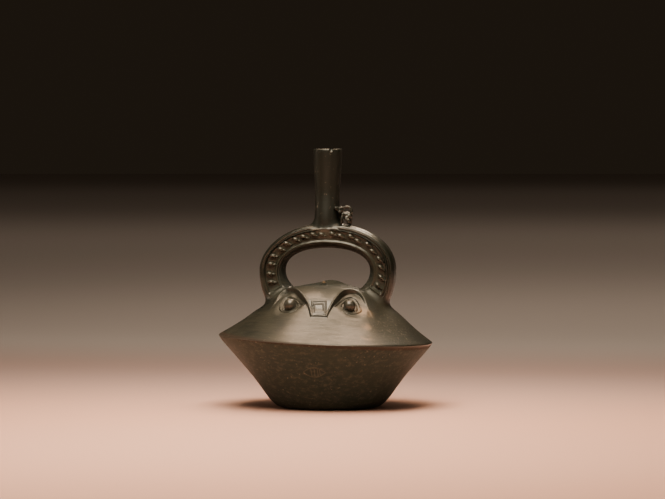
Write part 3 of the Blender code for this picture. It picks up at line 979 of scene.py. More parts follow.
    def chamber(self) -> bmesh.types.BMesh:
        """Make the hollow inside the body.

        Returns:
            The hollow, as a solid to be cut out.
        """
        wall = self.bowl.wall
        outline = [Vector((0.0, 0.0, wall))]
        outline += [Vector((0.0, -self.bowl.radius(height) + wall * self.chamber_slant, height))
                    for height in (wall, wall + self.chamber_toe, *self.chamber_heights)]
        outline += [Vector((0.0, -self.rim * share, self.overhead)) for share in self.chamber_rings]
        mesh = spin_outline(outline, [(FULL_TURN, self.chamber_sides)])
        for vert in mesh.verts:
            if vert.co.z > self.overhead - WELD:
                share = math.hypot(vert.co.x, vert.co.y) / self.rim
                azimuth = azimuth_of(vert.co)
                vert.co = self.shell.point(self.rim_radius(azimuth, wall) * share, azimuth, -wall)
        bmesh.ops.recalc_face_normals(mesh, faces=mesh.faces[:])
        return mesh


# ---------------------------------------------------------------- stirrup and spout

@dataclass(frozen=True)
class ArchCurve:
    """One edge of the arch: two squared quarters over the widest level, an ellipse below it."""

    half_width: float
    rise: float
    drop: float
    right_power: float
    left_power: float

    def point(self, angle: float, middle: float, level: float) -> Vector:
        """Place on the edge.

        Args:
            angle: 0 on the right, 90 degrees at the top.
            middle: X of the arch's axis.
            level: height of its widest place.

        Returns:
            The place.
        """
        across, up = math.cos(angle), math.sin(angle)
        if up < 0.0:
            return Vector((middle + self.half_width * across, 0.0, level + self.drop * up))
        share = 2.0 / (self.right_power if across > 0.0 else self.left_power)
        x = math.copysign(abs(across) ** share, across) * self.half_width
        return Vector((middle + x, 0.0, level + self.rise * up ** share))


@dataclass
class Stirrup:
    """Arched tube with a sunk band of figures between beads on its front and back and grooved sides."""

    shell: Shell
    middle: float = -1.0        # X of the arch's axis
    level: float = 111.0        # height at which it is widest
    outer: ArchCurve = ArchCurve(55.7, 38.7, 55.5, 2.15, 1.93)
    inner: ArchCurve = ArchCurve(35.1, 18.6, 22.5, 2.22, 2.22)
    end: float = math.radians(45.0)         # how far past its widest level each leg goes
    bore_end: float = math.radians(52.0)
    half_depth: float = 12.8
    flare: float = 2.6          # what the half depth gains at the feet
    outer_power: float = 3.4    # the tube's section is squarer outside than in the opening
    inner_power: float = 2.2
    wall: float = 4.0
    face_starts: float = 0.7    # share of the half depth from which the skin counts as front or back
    band_half: float = 0.42     # as a share of the tube's half width
    band_face: float = 0.93     # share of the half depth at which the bands' floors would lie unsunk
    band_sink: float = 0.9
    band_edge: float = 0.35     # half the width of a band's sheer edge
    band_end: float = math.radians(23.0)
    band_pace: float = 0.9      # length along the leg for a radian, as a share of the arch's drop
    bead_half: float = 0.85
    bead_rise: float = 0.7
    grooves_fade: Plan = (0.8, 0.2)     # share of the leg from which they die out, and over which they do
    grooves: tuple[Place, ...] = (
        # share of the half width, half the groove's width, depth
        (0.60, 0.9, 0.8), (0.76, 0.7, 0.65), (0.92, 0.7, 0.6),
        (-0.60, 0.9, 0.5), (-0.76, 0.6, 0.35), (-0.91, 0.6, 0.3))
    fillet: float = 6.0
    face_skirt: float = 0.35    # how much the front and back, and the outside, spread in the fillet
    outer_skirt: float = 0.3
    sides: int = 104
    stations: int = 208
    bore_mesh: tuple[int, int] = (16, 40)   # sides and stations of the hollow
    pace: float = math.radians(0.5)         # step in which lengths along the arch are measured
    fine_sides: int = 720       # of the outline from which the sides are spaced
    look: tuple[int, int] = (2, 3)      # fine sides behind and ahead by which a heading is read
    carved_from: Plan = (0.34, 0.55)    # shares of half width and half depth past which it is carved
    carved_weight: float = 2.2  # how densely the carved part of the outline is sampled
    plain_weight: float = 0.9

    def __post_init__(self) -> None:
        """Space the points of the tube's outline evenly."""
        self.outline = self._outline()

    def _outline(self) -> list[tuple[float, float, float, float]]:
        """Space points evenly round the tube, and more densely where it is carved.

        Returns:
            For each point its share, its depth, and its normal along both.
        """
        fine = []
        for k in range(self.fine_sides):
            turn = FULL_TURN * k / self.fine_sides
            share, depth = math.cos(turn), math.sin(turn)
            power = 2.0 / (self.outer_power if share > 0.0 else self.inner_power)
            fine.append(Vector([math.copysign(abs(value) ** power, value) for value in (share, depth)]))
        lengths = [0.0]
        for before, after in zip(fine, fine[1:] + fine[:1]):
            carved = abs(after.x) > self.carved_from[0] and abs(after.y) > self.carved_from[1]
            weight = self.carved_weight if carved else self.plain_weight
            lengths.append(lengths[-1] + (after - before).length * weight)
        points = []
        index = 0
        for k in range(self.sides):
            goal = lengths[-1] * k / self.sides
            while lengths[index + 1] < goal:
                index += 1
            t = (goal - lengths[index]) / (lengths[index + 1] - lengths[index])
            spot = fine[index].lerp(fine[(index + 1) % self.fine_sides], t)
            ahead = fine[(index + self.look[1]) % self.fine_sides]
            heading = (ahead - fine[index - self.look[0]]).normalized()
            points.append((spot.x, spot.y, heading.y, -heading.x))
        return points

    def frame(self, angle: float) -> tuple[Vector, Vector, float]:
        """The tube's section at an angle along the arch.

        Args:
            angle: 0 at the right of the widest level, 90 degrees at the top.

        Returns:
            Its middle, its outward direction and its half width.
        """
        outer = self.outer.point(angle, self.middle, self.level)
        inner = self.inner.point(angle, self.middle, self.level)
        return (outer + inner) * 0.5, (outer - inner).normalized(), (outer - inner).length * 0.5

    @staticmethod
    def below(angle: float) -> float:
        """How far an angle lies past the arch's widest level, towards a foot."""
        return max(-angle, angle - math.pi, 0.0)

    def depth_at(self, angle: float) -> float:
        """Half the tube's depth from front to back, flared at the feet."""
        return self.half_depth + self.flare * smooth_step(self.below(angle) / self.end) ** 2

    @staticmethod
    def angle_along(share: float, end: float) -> float:
        """Angle at a share of the way from the right foot to the left one, both at the same end angle."""
        return -end + (math.pi + 2.0 * end) * share

    def relief(self, share: float, depth_share: float, angle: float, half_width: float) -> float:
        """Height of beads, grooves and band over the plain tube.

        Args:
            share: place across the tube, from -1 at the opening to 1 outside.
            depth_share: place from front to back, as a share of the half depth.
            angle: angle along the arch.
            half_width: half the tube's width there.

        Returns:
            The height.
        """
        below = self.below(angle)
        depth = self.depth_at(angle)
        start, over = self.grooves_fade
        fade = 1.0 - smooth_step((below - start * self.end) / (over * self.end))
        height = 0.0
        for place, half, deep in self.grooves:
            if place * share > 0.0:
                height -= deep * fade * bump((share - place) * half_width / half)
        if abs(depth_share) < self.face_starts:
            return height
        margin = min((self.band_half - abs(share)) * half_width,
                     (self.band_end - below) * self.band_pace * self.outer.drop)
        sunk = depth * (abs(depth_share) - self.band_face) + self.band_sink
        height -= sunk * smooth_step((margin + self.band_edge) / (2.0 * self.band_edge))
        return height + self.bead_rise * bump((margin + self.bead_half) / self.bead_half)

    def surface(self, share: float, turn: float) -> Vector:
        """Place on the tube's skin.

        Args:
            share: from 0 at the right foot to 1 at the left one.
            turn: angle round the tube.

        Returns:
            The place.
        """
        angle = self.angle_along(share, self.end)
        middle, outward, half_width = self.frame(angle)
        index = round(turn / FULL_TURN * self.sides) % self.sides
        across, deep, normal_across, normal_deep = self.outline[index]
        normal = (outward * normal_across + Vector((0.0, normal_deep, 0.0))).normalized()
        place = middle + outward * (across * half_width) + Vector((0.0, deep * self.depth_at(angle), 0.0))
        place += normal * self.relief(across, deep, angle, half_width)
        if self.below(angle) > 0.0:
            near = closeness(self.shell.lift_of(place), self.fillet)
            skirt = self.face_skirt * abs(normal.y) + self.outer_skirt * max(across, 0.0)
            place += normal * self.fillet * skirt * near ** 3
        return place

    def build(self) -> bmesh.types.BMesh:
        """The tube, still solid."""
        return sleeve(self.sides, self.stations, self.surface)

    def bore(self) -> bmesh.types.BMesh:
        """Make the hollow of the tube.

        Returns:
            The hollow, as a solid to be cut out.
        """
        def surface(share: float, turn: float) -> Vector:
            """Place on the hollow's skin.

            Args:
                share: from 0 at the right foot to 1 at the left one.
                turn: angle round it.

            Returns:
                The place.
            """
            angle = self.angle_along(share, self.bore_end)
            middle, outward, half_width = self.frame(angle)
            across = (half_width - self.wall) * math.cos(turn)
            deep = (self.depth_at(angle) - self.wall) * math.sin(turn)
            return middle + outward * across + Vector((0.0, deep, 0.0))

        return sleeve(*self.bore_mesh, surface)

    def roof(self, x: float, y: float) -> float:
        """Height of the arch's top over a spot in plan.

        Args:
            x: the spot's X.
            y: its Y.

        Returns:
            The height.
        """
        across = min(abs(x - self.middle) / self.outer.half_width, 1.0)
        power = self.outer.right_power if x > self.middle else self.outer.left_power
        top = self.level + self.outer.rise * (1.0 - across ** power) ** (1.0 / power)
        under = self.level + self.inner.rise
        share = (1.0 - min(abs(y) / self.half_depth, 1.0) ** self.outer_power) ** (1.0 / self.outer_power)
        return 0.5 * (top + under) + 0.5 * (top - under) * share

    def angle_at(self, length: float) -> float:
        """Angle at a length along the tube's middle.

        Args:
            length: counted from the arch's top, positive towards the left foot.

        Returns:
            The angle, to the nearest step.
        """
        angle, run = 0.5 * math.pi, 0.0
        while run < abs(length):
            ahead = angle + math.copysign(self.pace, length)
            run += (self.frame(ahead)[0] - self.frame(angle)[0]).length
            angle = ahead
        return angle


@dataclass
class Birds:
    """Two rows of running birds in the sunk bands, the hidden one plainer."""

    stirrup: Stirrup
    count: int = 10
    spacing: float = 14.7
    start: float = -1.5         # of the row's middle from the arch's top, towards the left foot
    shift: float = 0.1          # outwards at the arch's top, as a share of the half width
    slant: float = math.radians(-25.0)      # of the pellets at the arch's top
    turning: float = 0.2        # share of the arch's own turning that they follow
    lumps: tuple[tuple[Place, Place, float], ...] = (
        # place along the band, outwards and proud; radii along the pellet, across and proud; offset along it
        ((-3.4, 0.3, 0.4), (3.2, 2.0, 2.9), -0.3),
        ((-3.4, 0.3, 0.0), (2.4, 1.2, 2.1), 2.5),
        ((3.4, 0.0, 0.4), (3.2, 1.9, 2.8), -0.3),
        ((3.4, 0.0, 0.0), (2.4, 1.1, 2.0), 2.6))

    def build(self) -> list[bmesh.types.BMesh]:
        """Model every pellet of both rows.

        Returns:
            The pellets.
        """
        parts = []
        for side in (-1.0, 1.0):
            for k in range(self.count):
                length = self.start + (k - 0.5 * (self.count - 1)) * self.spacing
                parts += self._bird(self.stirrup.angle_at(length), side)
        return parts

    def _bird(self, angle: float, side: float) -> list[bmesh.types.BMesh]:
        """One bird.

        Args:
            angle: its place along the arch.
            side: -1 on the front, 1 on the back.

        Returns:
            Its pellets.
        """
        stirrup = self.stirrup
        middle, outward, half_width = stirrup.frame(angle)
        out = Vector((0.0, side, 0.0))
        along = Vector((outward.z, 0.0, -outward.x))
        floor = stirrup.depth_at(angle) * stirrup.band_face - stirrup.band_sink
        seat = middle + outward * (self.shift * max(math.sin(angle), 0.0) * half_width) + out * floor
        heading = self.slant + self.turning * (angle - 0.5 * math.pi)
        axis = Vector((math.cos(heading), 0.0, math.sin(heading)))
        axes = Matrix((axis, out.cross(axis), out)).transposed()
        parts = []
        for (ahead, beside, proud), radii, offset in self.lumps if side < 0.0 else self.lumps[::2]:
            centre = seat + along * ahead + outward * beside + out * proud + axis * offset
            parts.append(lump(centre, radii, axes, fineness=2))
        return parts


@dataclass
class Spout:
    """Slightly flared tube on the arch, its foot blended into it, its lip chipped."""

    stirrup: Stirrup
    profile: Curve = Curve((
        (132.0, 10.2), (150.0, 10.2), (176.0, 10.2), (200.0, 11.4), (208.6, 11.65), (209.6, 11.45),
        (210.0, 10.9)))
    foot: float = 138.0         # where it starts, inside the arch
    seen_foot: float = 142.5    # where it comes out of the arch
    foot_x: float = -1.6
    mouth_x: float = -1.0
    wall: float = 2.6
    fillet: float = 6.0
    skirt: float = 0.55         # how much the sides spread in the fillet
    spread: float = 0.22        # how much deeper than wide the spout is at its foot
    spread_top: float = 176.0
    spread_drop: float = 25.0
    crowding: float = 1.15      # above 1 its rows lie closer near the lip
    lip_depth: float = 3.0      # below the lip, where the bore starts to open
    lip_opening: Plan = (1.2, 4.0)      # how much wider the bore gets, and over what height
    bore_level: float = 208.0   # above it the bore keeps the outside's radius of this height
    overshoot: float = 1.0      # of the bore beyond the lip
    sides: int = 56
    stations: int = 60
    bore_mesh: tuple[int, int] = (32, 40)   # sides and stations of the hollow
    chips: tuple[tuple[float, Place], ...] = (
        # degrees from the front towards the right, radii
        (24.0, (2.2, 2.2, 3.3)), (73.0, (1.2, 1.2, 1.1)), (47.0, (0.9, 0.9, 0.6)))
    chip_reach: float = 12.2    # from the spout's middle

    def middle(self, height: float) -> Vector:
        """Middle of the spout at a height."""
        share = (height - self.seen_foot) / (HEIGHT - self.seen_foot)
        return Vector((self.foot_x + (self.mouth_x - self.foot_x) * share, 0.0, height))

    def surface(self, share: float, turn: float) -> Vector:
        """Place on the spout's skin.

        Args:
            share: from 0 at its foot to 1 at the lip.
            turn: angle round it.

        Returns:
            The place.
        """
        height = self.foot + (HEIGHT - self.foot) * (1.0 - (1.0 - share) ** self.crowding)
        radius = self.profile.at(height)
        deeper = 1.0 + self.spread * smooth_step((self.spread_top - height) / self.spread_drop)
        across = around(turn)
        spot = self.middle(height) + Vector((across.x, across.y * deeper, 0.0)) * radius
        near = closeness(height - self.stirrup.roof(spot.x, spot.y), self.fillet)
        return spot + across * self.fillet * self.skirt * near ** 3 * across.x ** 2

    def build(self) -> bmesh.types.BMesh:
        """The spout, still solid."""
        return sleeve(self.sides, self.stations, self.surface)

    def bore(self) -> bmesh.types.BMesh:
        """Make the hollow of the spout.

        Returns:
            The hollow, as a solid to be cut out.
        """
        def surface(share: float, turn: float) -> Vector:
            """Place on the hollow's skin.

            Args:
                share: from 0 at the spout's foot to 1 beyond the lip.
                turn: angle round it.

            Returns:
                The place.
            """
            height = self.foot + (HEIGHT + self.overshoot - self.foot) * share
            radius = self.profile.at(min(height, self.bore_level)) - self.wall
            wider, over = self.lip_opening
            radius += wider * smooth_step((height - HEIGHT + self.lip_depth) / over)
            return self.middle(height) + around(turn) * radius

        return sleeve(*self.bore_mesh, surface)

    def lost_flakes(self) -> list[bmesh.types.BMesh]:
        """Shape the flakes that are lost from the lip.

        Returns:
            The flakes, as solids to be cut out.
        """
        flakes = []
        for degrees, radii in self.chips:
            turn = math.radians(degrees)
            outward = Vector((math.sin(turn), -math.cos(turn), 0.0))
            flakes.append(lump(self.middle(HEIGHT) + outward * self.chip_reach, radii, fineness=2))
        return flakes


@dataclass
class Monkey:
    """Small monkey on all fours on the arch, a hand on the spout and its tail curled over its back."""

    lumps: dict[str, tuple[Place, Place]] = field(default_factory=lambda: {
        "chest": ((11.8, -3.8, 156.4), (3.2, 3.2, 3.4)),
        "back": ((14.6, -3.2, 156.6), (4.2, 3.1, 2.9)),
        "rump": ((17.0, -3.1, 155.4), (2.7, 3.2, 3.0)),
        "head": ((10.4, -5.8, 160.6), (2.8, 2.8, 3.2)),
        "brow": ((10.3, -7.6, 162.3), (2.4, 1.2, 0.8)),
        "muzzle": ((10.2, -8.0, 158.9), (1.6, 1.5, 1.6)),
        "left_ear": ((7.8, -5.2, 162.4), (0.8, 0.9, 1.1)),
        "right_ear": ((13.0, -4.9, 162.4), (0.8, 0.9, 1.1)),
    })
    limbs: tuple[tuple[tuple[Place, ...], tuple[float, ...]], ...] = (
        # points of the arm on the spout, the near arm and leg, the far arm and leg, the tail; radii there
        (((10.4, -5.0, 158.2), (8.4, -7.2, 160.4), (5.9, -8.8, 162.9)), (1.7, 1.4, 1.3)),
        (((11.6, -5.2, 156.4), (11.4, -6.2, 153.0), (11.2, -6.2, 150.2), (10.0, -6.6, 149.2)),
         (1.8, 1.5, 1.3, 1.2)),
        (((17.2, -4.8, 155.0), (14.9, -6.2, 153.4), (17.6, -6.4, 151.4), (15.8, -6.6, 149.4)),
         (2.1, 1.7, 1.4, 1.2)),
        (((11.4, -2.4, 156.4), (10.6, -0.6, 153.0), (10.8, 0.2, 148.8)), (1.8, 1.5, 1.4)),
        (((17.0, -2.0, 155.0), (17.6, 0.4, 152.0), (17.2, 0.8, 148.0)), (2.2, 1.7, 1.5)),
        (((17.6, -3.0, 156.6), (18.9, -3.0, 158.6), (18.4, -3.0, 160.8), (16.8, -3.1, 162.6),
          (14.7, -3.3, 163.1), (13.4, -3.5, 162.1), (13.6, -3.6, 160.8)),
         (1.4, 1.3, 1.2, 1.1, 1.1, 1.0, 0.9)))
    eyes: tuple[Place, ...] = ((9.2, -8.5, 161.3), (11.3, -8.4, 161.2))
    eye_radius: float = 0.65

    def build(self) -> list[bmesh.types.BMesh]:
        """Lumps and limbs of the monkey."""
        parts = [lump(Vector(middle), radii) for middle, radii in self.lumps.values()]
        return parts + [roll(path, radii) for path, radii in self.limbs]

    def eye_pits(self) -> list[bmesh.types.BMesh]:
        """Shapes of the pricked eyes."""
        return [lump(Vector(place), [self.eye_radius] * 3, fineness=2) for place in self.eyes]


# ---------------------------------------------------------------- shader maths

class Signal:
    """Socket of a material's node tree, on which an expression adds its Math nodes."""

    def __init__(self, sheet: "NodeSheet", socket: bpy.types.NodeSocket) -> None:
        """Keep the socket and the sheet that it belongs to."""
        self.sheet = sheet
        self.socket = socket

    def __add__(self, other: "Signal | float") -> "Signal":
        """Sum."""
        return self.sheet.math("ADD", self, other)

    def __sub__(self, other: "Signal | float") -> "Signal":
        """Difference."""
        return self.sheet.math("SUBTRACT", self, other)

    def __rsub__(self, other: float) -> "Signal":
        """Difference from a number."""
        return self.sheet.math("SUBTRACT", other, self)

    def __mul__(self, other: "Signal | float") -> "Signal":
        """Product."""
        return self.sheet.math("MULTIPLY", self, other)

    def __truediv__(self, other: "Signal | float") -> "Signal":
        """Quotient."""
        return self.sheet.math("DIVIDE", self, other)

    def __pow__(self, other: "Signal | float") -> "Signal":
        """Power."""
        return self.sheet.math("POWER", self, other)

    __radd__ = __add__
    __rmul__ = __mul__

    def __abs__(self) -> "Signal":
        """Size, whatever the sign."""
        return self.sheet.math("ABSOLUTE", self)

    def ramp(self, low: float, high: float) -> "Signal":
        """Smooth step of the signal.

        Args:
            low: value up to which the result is 0.
            high: value from which it is 1.

        Returns:
            The step, as a signal.
        """
        node = self.sheet.node("ShaderNodeMapRange", {"Value": self, "From Min": low, "From Max": high},
                               interpolation_type="SMOOTHSTEP")
        return Signal(self.sheet, node.outputs["Result"])

    def fade(self, low: float, high: float) -> "Signal":
        """1 below low, 0 above high, smooth between."""
        return 1.0 - self.ramp(low, high)

    def without(self, zone: "Signal", loss: float = 1.0) -> "Signal":
        """The signal less a share of itself inside a zone."""
        return self * (1.0 - loss * zone)


class NodeSheet:
    """Node tree of one material, in the object's own space and a unit of the maker's choice."""

    def __init__(self, material: bpy.types.Material, unit: float = 1.0) -> None:
        """Empty the material's tree and lay a Principled shader and its output in it.

        Args:
            material: the material.
            unit: metres in the unit in which places and sizes are given.
        """
        material.use_nodes = True
        self.tree = material.node_tree
        self.tree.nodes.clear()
        self.unit = unit
        self.shader = self.node("ShaderNodeBsdfPrincipled")
        self.node("ShaderNodeOutputMaterial", {"Surface": self.shader.outputs["BSDF"]})
        self.position = self.node("ShaderNodeTexCoord").outputs["Object"]

    def node(self, kind: str, inputs: dict | None = None, **settings: str) -> bpy.types.Node:
        """Add one node.

        Args:
            kind: its type.
            inputs: values or links of its sockets, by name or index.
            settings: its properties, which are set before the sockets.

        Returns:
            The node.
        """
        node = self.tree.nodes.new(kind)
        for name, value in settings.items():
            setattr(node, name, value)
        self.feed(node, inputs or {})
        return node

    def feed(self, node: bpy.types.Node, inputs: dict) -> None:
        """Link or set sockets of a node.

        Args:
            node: the node.
            inputs: values or links, by the socket's name or index.
        """
        for name, value in inputs.items():
            source = value.socket if isinstance(value, Signal) else value
            if isinstance(source, bpy.types.NodeSocket):
                self.tree.links.new(source, node.inputs[name])
            else:
                node.inputs[name].default_value = source

    def math(self, operation: str, *values: "Signal | float") -> Signal:
        """Number from one Math node."""
        node = self.node("ShaderNodeMath", dict(enumerate(values)), operation=operation)
        return Signal(self, node.outputs[0])

    def mix(self, factor: Signal, base: "Signal | Colour", over: "Signal | Colour") -> Signal:
        """Colour between two colours.

        Args:
            factor: share of the second one.
            base: the first colour.
            over: the second colour.

        Returns:
            The mixed colour.
        """
        node = self.node("ShaderNodeMix", {0: factor, 6: base, 7: over}, data_type="RGBA")
        return Signal(self, node.outputs[2])

    def layers(self, ground: Colour, *coats: tuple[Signal, Colour]) -> Signal:
        """Colour of a ground under several coats.

        Args:
            ground: the lowest colour.
            coats: share and colour of each coat, from the lowest up.

        Returns:
            The colour that is seen.
        """
        colour = ground
        for share, coat in coats:
            colour = self.mix(share, colour, coat)
        return colour

    def noise(self, size: float, detail: float = 3.0, stretch: Place = (1.0, 1.0, 1.0), seed: float = 0.0,
              rough: float = 0.5) -> Signal:
        """Cloudy noise.

        Args:
            size: rough length of a cloud.
            detail: octaves.
            stretch: how much the clouds are squeezed along each axis.
            seed: which part of the noise is used.
            rough: weight of the finer octaves.

        Returns:
            The noise, about 0.5 on average.
        """
        mapping = self.node("ShaderNodeMapping", {
            "Vector": self.position, "Scale": stretch, "Location": (seed, 0.7 * seed, 1.3 * seed)})
        node = self.node("ShaderNodeTexNoise", {
            "Vector": mapping.outputs[0], "Scale": 1.0 / (size * self.unit), "Detail": detail,
            "Roughness": rough})
        return Signal(self, node.outputs[0])

    def near(self, place: Place, radii: Place, full: float = 0.2) -> Signal:
        """Soft patch.

        Args:
            place: its middle.
            radii: its half sizes along the axes.
            full: share of the half sizes within which it is at its strongest.

        Returns:
            1 in its middle, 0 outside.
        """
        scale = tuple(1.0 / (radius * self.unit) for radius in radii)
        shift = tuple(-middle / radius for middle, radius in zip(place, radii))
        mapping = self.node("ShaderNodeMapping", {"Vector": self.position, "Scale": scale, "Location": shift})
        length = self.node("ShaderNodeVectorMath", {0: mapping.outputs[0]}, operation="LENGTH")
        return Signal(self, length.outputs["Value"]).fade(full, 1.0)

    def place(self, axis: int) -> Signal:
        """One coordinate."""
        split = self.node("ShaderNodeSeparateXYZ", {0: self.position})
        return Signal(self, split.outputs[axis]) / self.unit


# ---------------------------------------------------------------- finishes

class ClayZones:
    """Parts of the vessel that were worked or abraded differently, or that carry painted shade or light, each
    1 inside and 0 outside.
    """

    RIM_LEVEL = 54.2            # height of the rim's lower edge at the vessel's axis
    RIM_SLOPE = 0.061           # its fall towards the right, to which the shell leans
    BALL = (6.4, 6.4, 6.8)      # half sizes of the zone round an eyeball
    FOOT = (15.0, 15.0, 13.0)   # half sizes of the zone before a foot of the stirrup
    ARCH_MIDDLE = (-1.0, 0.0, 107.0)
    MARK_EDGE = (9.0, 9.6)      # across, beyond which the mark's lines fade
    MARK_FRONT = (30.0, 34.0)   # before the axis, where they come in

    def __init__(self, sheet: NodeSheet) -> None:
        """Lay the zones out.

        Args:
            sheet: the clay's node tree, in drawing units.
        """
        across, deep, height = (sheet.place(axis) for axis in range(3))
        over_rim = height + self.RIM_SLOPE * across - self.RIM_LEVEL
        self.bowl = over_rim.fade(0.4, 1.6)
        self.rim = over_rim.ramp(-1.0, 0.0) * over_rim.fade(1.7, 2.7)
        self.arch = height.ramp(103.0, 107.0)
        # the spout, which loses polish and gets painted shade
        self.spout = height.ramp(143.0, 151.0) * across.fade(10.5, 12.5)
        left_ball, right_ball = (
            sheet.near(place, self.BALL, 0.8) for place in ((-23.9, -44.0, 86.0), (24.1, -42.4, 85.0)))
        self.balls = left_ball + right_ball
        self.feet = sheet.near((-37.0, -17.0, 95.0), self.FOOT) + sheet.near((38.0, -17.0, 94.0), self.FOOT)
        self.scuffed = sheet.near((66.0, -34.0, 68.0), (36.0, 42.0, 26.0))
        inside, lip, ring = (sheet.near(self.ARCH_MIDDLE, radii, full) for radii, full in (
            ((41.0, 60.0, 28.5), 0.9), ((47.0, 70.0, 34.5), 0.9), ((51.0, 90.0, 39.5), 0.93)))
        self.opening = inside * height.ramp(98.0, 101.0)
        self.lip = lip * self.arch
        on_face = (deep ** 2.0).ramp(9.5 ** 2, 11.2 ** 2)
        # the sunk bands, whose floors get a dusty colour that is also painted light
        self.band = ring.without(inside) * on_face * height.ramp(88.0, 94.0)
        self.mark = self._mark(sheet, across, deep, height)

    def _mark(self, sheet: NodeSheet, across: Signal, deep: Signal, height: Signal) -> Signal:
        """Lines of the scratched mark, where the paler clay shows.

        Args:
            sheet: the clay's node tree.
            across: distance to the right of the axis.
            deep: distance behind it.
            height: height over the floor.

        Returns:
            1 on the lines, 0 elsewhere.
        """
        mark = ScratchedMark()
        up = abs(height - mark.height)
        edge = mark.half_height * (1.0 - (across * across) / mark.half_width ** 2)
        lines = abs(up - edge).fade(0.15, 0.7)
        inside = (edge - up).ramp(0.0, 0.5)
        for stroke in mark.strokes:
            lines = sheet.math("MAXIMUM", lines, inside * abs(across - stroke).fade(0.1, 0.6))
        return lines * (0.0 - deep).ramp(*self.MARK_FRONT) * abs(across).fade(*self.MARK_EDGE)


@dataclass(frozen=True)
class BurnishedClay:
    """Reduction-fired black clay, rubbed to a satin shine, abraded brown and tan in places, with painted
    shade on the spout and painted light in the sunk bands and on the crown's cone.
    """

    black: Colour = (0.0062, 0.0080, 0.0054, 1.0)
    brown: Colour = (0.0215, 0.0215, 0.0145, 1.0)
    tan: Colour = (0.20, 0.135, 0.080, 1.0)
    ash: Colour = (0.19, 0.175, 0.145, 1.0)
    # dusty colour of the sunk bands, and painted light: it lightens the bands' floors, which face the dark
    # room
    band_dust_and_painted_light: Colour = (0.022, 0.025, 0.0175, 1.0)
    # painted shade: near-black laid over the spout, which looks dark where it reflects only the dark room
    spout_painted_shade: Colour = (0.0015, 0.0024, 0.0012, 1.0)
    smoke: Colour = (0.006, 0.028, 0.023, 1.0)
    rim_brown: Colour = (0.020, 0.010, 0.005, 1.0)
    specular: float = 0.4
    specular_tint: Colour = (0.86, 1.0, 1.0, 1.0)
    roughness: float = 0.38     # of the smoothest clay, before the clouds and the zones add to it
    burnish_roughness: float = 0.25
    burnish_ior: float = 1.5
    ball_polish: float = 0.95
    relief: float = 0.25        # height of the grain, in drawing units
    relief_strength: float = 0.5
    worn_patches_and_nub_highlight: tuple[tuple[Place, Place], ...] = (
        # middle and half sizes of each patch: three of worn clay on the right of the face, and one on the
        # crown's cone, which is partly worn clay and partly a painted highlight
        ((37.0, -41.0, 81.0), (12.0, 9.0, 8.0)), ((41.0, -56.0, 70.0), (7.0, 8.0, 6.0)),
        ((44.0, -66.0, 62.0), (10.0, 6.0, 5.0)), ((-0.6, -20.2, 103.0), (3.2, 3.2, 3.4)))

    def material(self, unit: float) -> bpy.types.Material:
        """The finish as a material.

        Args:
            unit: metres in a drawing unit.

        Returns:
            The material.
        """
        material = bpy.data.materials.new("burnished_clay")
        sheet = NodeSheet(material, unit)
        zones = ClayZones(sheet)
        mottle = sheet.noise(30.0, 5.0, seed=2.0)
        streak = sheet.noise(12.0, 4.0, (1.0, 1.0, 9.0), seed=5.0)
        grain = sheet.noise(1.6, 3.0, seed=9.0)
        hairlines = sheet.noise(5.0, 3.0, (1.0, 1.0, 8.0), seed=41.0).ramp(0.35, 0.65)
        clouds = 0.6 * mottle + 0.4 * streak
        relief = sheet.node("ShaderNodeBump", {
            "Strength": self.relief_strength, "Distance": self.relief * unit,
            "Height": 0.5 * grain + 1.2 * streak + 0.25 * hairlines})
        sheet.feed(sheet.shader, {
            "Base Color": self._colour(sheet, zones, clouds),
            "Roughness": self._roughness(zones, mottle, streak),
            "Coat Weight": self._polish(zones, clouds, hairlines),
            "Normal": relief.outputs[0],
            "Coat Roughness": self.burnish_roughness,
            "Coat IOR": self.burnish_ior,
            "Specular IOR Level": self.specular,
            "Specular Tint": self.specular_tint})
        return material

    def _colour(self, sheet: NodeSheet, zones: ClayZones, clouds: Signal) -> Signal:
        """Black clay under its browns and its tan and ash marks, with painted shade on the spout, a dusty
        tone and painted light in the sunk bands, and a painted highlight on the crown's cone.

        Args:
            sheet: the clay's node tree.
            zones: its zones.
            clouds: the noise that the browns follow.

        Returns:
            The colour.
        """
        wear_and_nub_highlight = sum((sheet.near(*patch) for patch in self.worn_patches_and_nub_highlight), 0.0)
        broken = sheet.noise(6.0, 4.0, seed=21.0).ramp(0.28, 0.6)
        scuffs = sheet.noise(2.8, 5.0, (1.0, 1.0, 2.0), seed=31.0, rough=0.7).ramp(0.52, 0.68)
        dusting = sheet.noise(5.0, 6.0, (1.0, 1.0, 1.6), seed=51.0, rough=0.75).ramp(0.46, 0.72)
        specks = sheet.noise(2.2, 2.0, seed=13.0).ramp(0.66, 0.74)
        return sheet.layers(
            self.black,
            (clouds.ramp(0.38, 0.58).without(zones.arch, 0.95), self.brown),
            # painted shade: the spout darkened towards black
            (0.7 * zones.spout, self.spout_painted_shade),
            (0.5 * zones.bowl, self.smoke),
            # dusty colour and painted light on the sunk bands' floors
            (0.8 * zones.band, self.band_dust_and_painted_light),
            (0.85 * zones.rim, self.rim_brown),
            # tan patches: worn clay, and on the crown's cone partly a painted highlight
            (0.8 * wear_and_nub_highlight * broken, self.tan),
            (0.5 * zones.scuffed * scuffs, self.ash),
            (0.15 * zones.mark, self.ash),
            (0.20 * zones.bowl * dusting, self.ash),
            (0.35 * specks, self.ash))

    def _roughness(self, zones: ClayZones, mottle: Signal, streak: Signal) -> Signal:
        """Roughness of the clay under the burnish.

        Args:
            zones: the clay's zones.
            mottle: its broad noise.
            streak: its upright noise.

        Returns:
            The roughness.
        """
        gains = ((mottle, 0.14), (streak, 0.14), (zones.bowl, 0.20), (zones.arch, -0.16),
                 (zones.opening, 0.50), (zones.spout, 0.10), (zones.feet, 0.10))
        return sum((gain * signal for signal, gain in gains), self.roughness)

